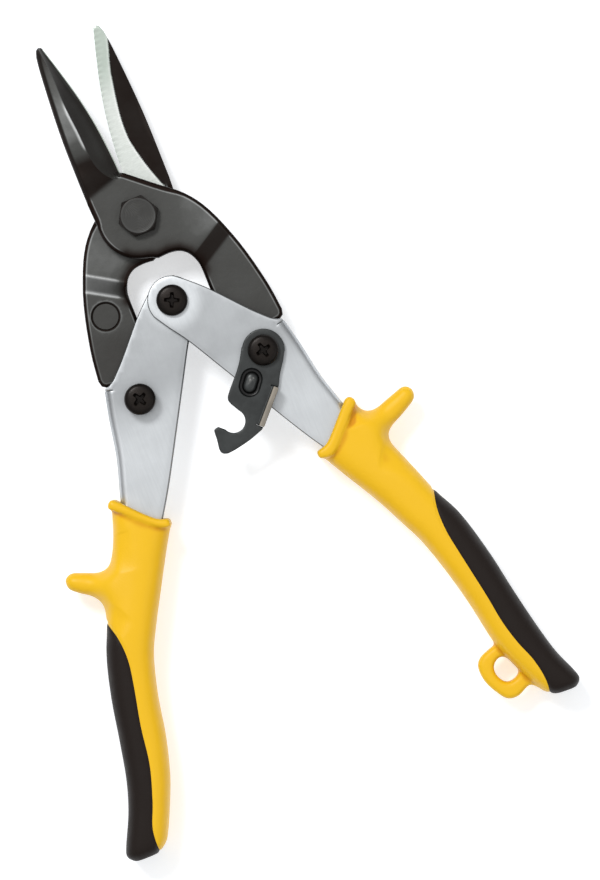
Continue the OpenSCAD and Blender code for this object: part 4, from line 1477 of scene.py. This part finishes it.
shown("front_jaw_forging", jaw(BOLT_RADIUS + CLEARANCE, False), "front_jaw", FORGED, ["front_jaw"])
shown("rear_jaw_forging", changed(jaw(BOLT_RADIUS, True), TURNED_OVER), "rear_jaw", FORGED, ["rear_jaw"])
shown("jaw_bolt_turned", jaw_bolt(), "rear_jaw", JAW_HARDWARE, ["jaw_bolt"])
shown("jaw_nut_turned", jaw_nut(), "rear_jaw", JAW_HARDWARE, ["jaw_nut"])
jaw_washer = washer(BOLT_RADIUS, JAW_WASHER_RADIUS, NUT_TOP, -HEAD_TOP, 0.15)
shown("jaw_washer_turned", jaw_washer, "rear_jaw", JAW_HARDWARE, ["jaw_washer"])

left_arm = changed(arm(LEFT_MIDDLE, BARREL + LEFT_ARM_FIT), MIRROR)
shown("left_arm_channel", left_arm, "left_handle", PLATED, ["left_arm"])
shown("right_arm_channel", arm(RIGHT_MIDDLE, BARREL), "right_handle", PLATED, ["right_arm"])

# Each screw's body and place, its seat, its neck's end and radius, the cross's turn, its nut's seat and top
SCREWS = (
    ("left_arm", "left_handle", LEFT_PLACE, (LEFT_SEAT, LEFT_FACE, BARREL, 28), (LEFT_FACE, LEFT_FACE)),
    ("right_arm", "right_handle", ARM_PIVOT, (RIGHT_SEAT, RIGHT_FACE, THREAD, 14), (RIGHT_FACE, RIGHT_SEAT)),
    ("handle", "right_handle", HANDLE_PIVOT, (RIGHT_FACE, HANDLE_NECK, THREAD, -22), (RIGHT_FACE, RIGHT_FACE)),
)
for name, body, place, (seat, neck_from, neck, turn), (nut_seat, _) in SCREWS:
    screw = pan_screw(seat, 1 - nut_seat, neck, neck_from, turn)
    shown(f"{name}_pan_screw", screw, body, BLACK, [f"{name}_screw"], place)
for name, body, place, _, (nut_seat, nut_top) in SCREWS:
    shown(f"{name}_barrel", barrel_nut(-nut_seat, nut_top), body, BLACK, [f"{name}_barrel_nut"], place)

washer_low = TAIL_HALF + CLEARANCE
tail_washers = joined([
    washer(BARREL, TAIL_RADIUS, low, low + TAIL_WASHER_HEIGHT, 0.12)
    for low in (washer_low, -washer_low - TAIL_WASHER_HEIGHT)
])
shown("tail_washer_pair", tail_washers, "right_handle", WASHER, ["tail_washers"], ARM_PIVOT)
latch_washer = washer(BARREL, LATCH_WASHER_RADIUS, RIGHT_FACE, LATCH_LOW - CLEARANCE, 0.1)
shown("latch_washer_turned", latch_washer, "right_handle", LATCH, ["latch_washer"], ARM_PIVOT)
shown("latch_plate", latch(), "latch", LATCH, ["latch"])
shown("spring_coil", wire(coil_path()), "right_handle", SPRING, ["opening_spring"], crease=60)
shown("spring_left_leg", wire(left_leg_path()), "left_handle", SPRING, ["opening_spring"], crease=60)

LOOP = pillow(grown(LOOP_OUTSIDE, 0.2), LOOP_HALF, 1.4, [grown(LOOP_HOLE, -0.08)])
LEFT_GRIP = grip(LEFT_STATIONS, LEFT_COLLAR, LEFT_LUG, LEFT_FALLS, LEFT_SPLIT, LEFT_FACE)
RIGHT_GRIP = grip(RIGHT_STATIONS, RIGHT_COLLAR, RIGHT_LUG, RIGHT_FALLS, RIGHT_SPLIT, RIGHT_FACE, [LOOP])
for side, mouldings, signs in (("left", LEFT_GRIP, MIRROR), ("right", RIGHT_GRIP, np.ones(3))):
    for suffix, material, node, (corners, faces, hollow) in (
        ("grip_moulding", YELLOW, "grip", mouldings[0]),
        ("insert_moulding", DARK, "grip_insert", mouldings[1]),
    ):
        built = changed((corners, faces, {"hollow": hollow}), signs)
        shown(f"{side}_{suffix}", built, f"{side}_handle", material, [f"{side}_{node}"], crease=50)


# ---- Floor, light and camera ----

FLOOR_GLOW = 0.5
FLOOR_REACH = 3
floor_corners = FLOOR_REACH * np.array([(-1, -1, 0), (1, -1, 0), (1, 1, 0), (-1, 1, 0)])
floor = plain("floor", floor_corners, [(0, 1, 2, 3)])
floor_paint = Paint("floor_paper")
floor.data.materials.append(floor_paint.finish(
    Base_Color=floor_paint.mix(floor_paint.noise(60, 2, 0.5), (0.72, 0.74, 0.765), (0.74, 0.76, 0.785)),
    Roughness=0.9, Emission_Color=(1, 1, 1), Emission_Strength=FLOOR_GLOW
))

# The middle of the picture on the floor, in metres, and the camera's turn about the vertical
CENTRE = Vector((0.020, -0.0801, 0))
VIEW_TURN = math.radians(-21.8)
VIEW_RIGHT = Vector((math.cos(VIEW_TURN), math.sin(VIEW_TURN), 0))
VIEW_UP = Vector((-math.sin(VIEW_TURN), math.cos(VIEW_TURN), 0))


def area_light(name, right, up, height, size, power):
    """A soft square lamp, placed as the camera sees it, that shines at the object."""
    data = bpy.data.lights.new(name, "AREA")
    data.size = size
    data.energy = power
    made = added(name, data)
    made.location = CENTRE + VIEW_RIGHT * right + VIEW_UP * up + Vector((0, 0, height))
    made.rotation_euler = (CENTRE - made.location).to_track_quat("-Z", "Y").to_euler()


# Metres right of and up from the picture's middle, metres above the floor, size and watts
area_light("key", -0.75, 0.95, 1.85, 0.5, 26)
area_light("fill", 1.3, -0.5, 1.6, 1.4, 4)

# A dome that is bright overhead and dim towards the horizon
world = bpy.data.worlds.new("studio")
world.use_nodes = True
tree = world.node_tree
upward = tree.nodes.new("ShaderNodeSeparateXYZ")
tree.links.new(tree.nodes.new("ShaderNodeTexCoord").outputs["Generated"], upward.inputs[0])
strength = tree.nodes.new("ShaderNodeMapRange")
tree.links.new(upward.outputs["Z"], strength.inputs["Value"])
for key, number in (("From Min", 0.0), ("From Max", 0.9), ("To Min", 0.12), ("To Max", 0.8)):
    strength.inputs[key].default_value = number
tree.nodes["Background"].inputs["Color"].default_value = (1, 1, 1, 1)
tree.links.new(strength.outputs["Result"], tree.nodes["Background"].inputs["Strength"])
bpy.context.scene.world = world
bpy.context.scene.view_settings.view_transform = "Standard"

# The camera's height, and the height of its field at the shear plane, in metres
DISTANCE = 1.6
FIELD = 0.264
SENSOR = 36
camera_data = bpy.data.cameras.new("camera")
camera_data.sensor_width = SENSOR
camera_data.lens = SENSOR * (DISTANCE - REST * MM) / FIELD
camera = added("camera", camera_data)
camera.location = CENTRE + Vector((0, 0, DISTANCE))
camera.rotation_euler = (0, 0, VIEW_TURN)
bpy.context.scene.camera = camera
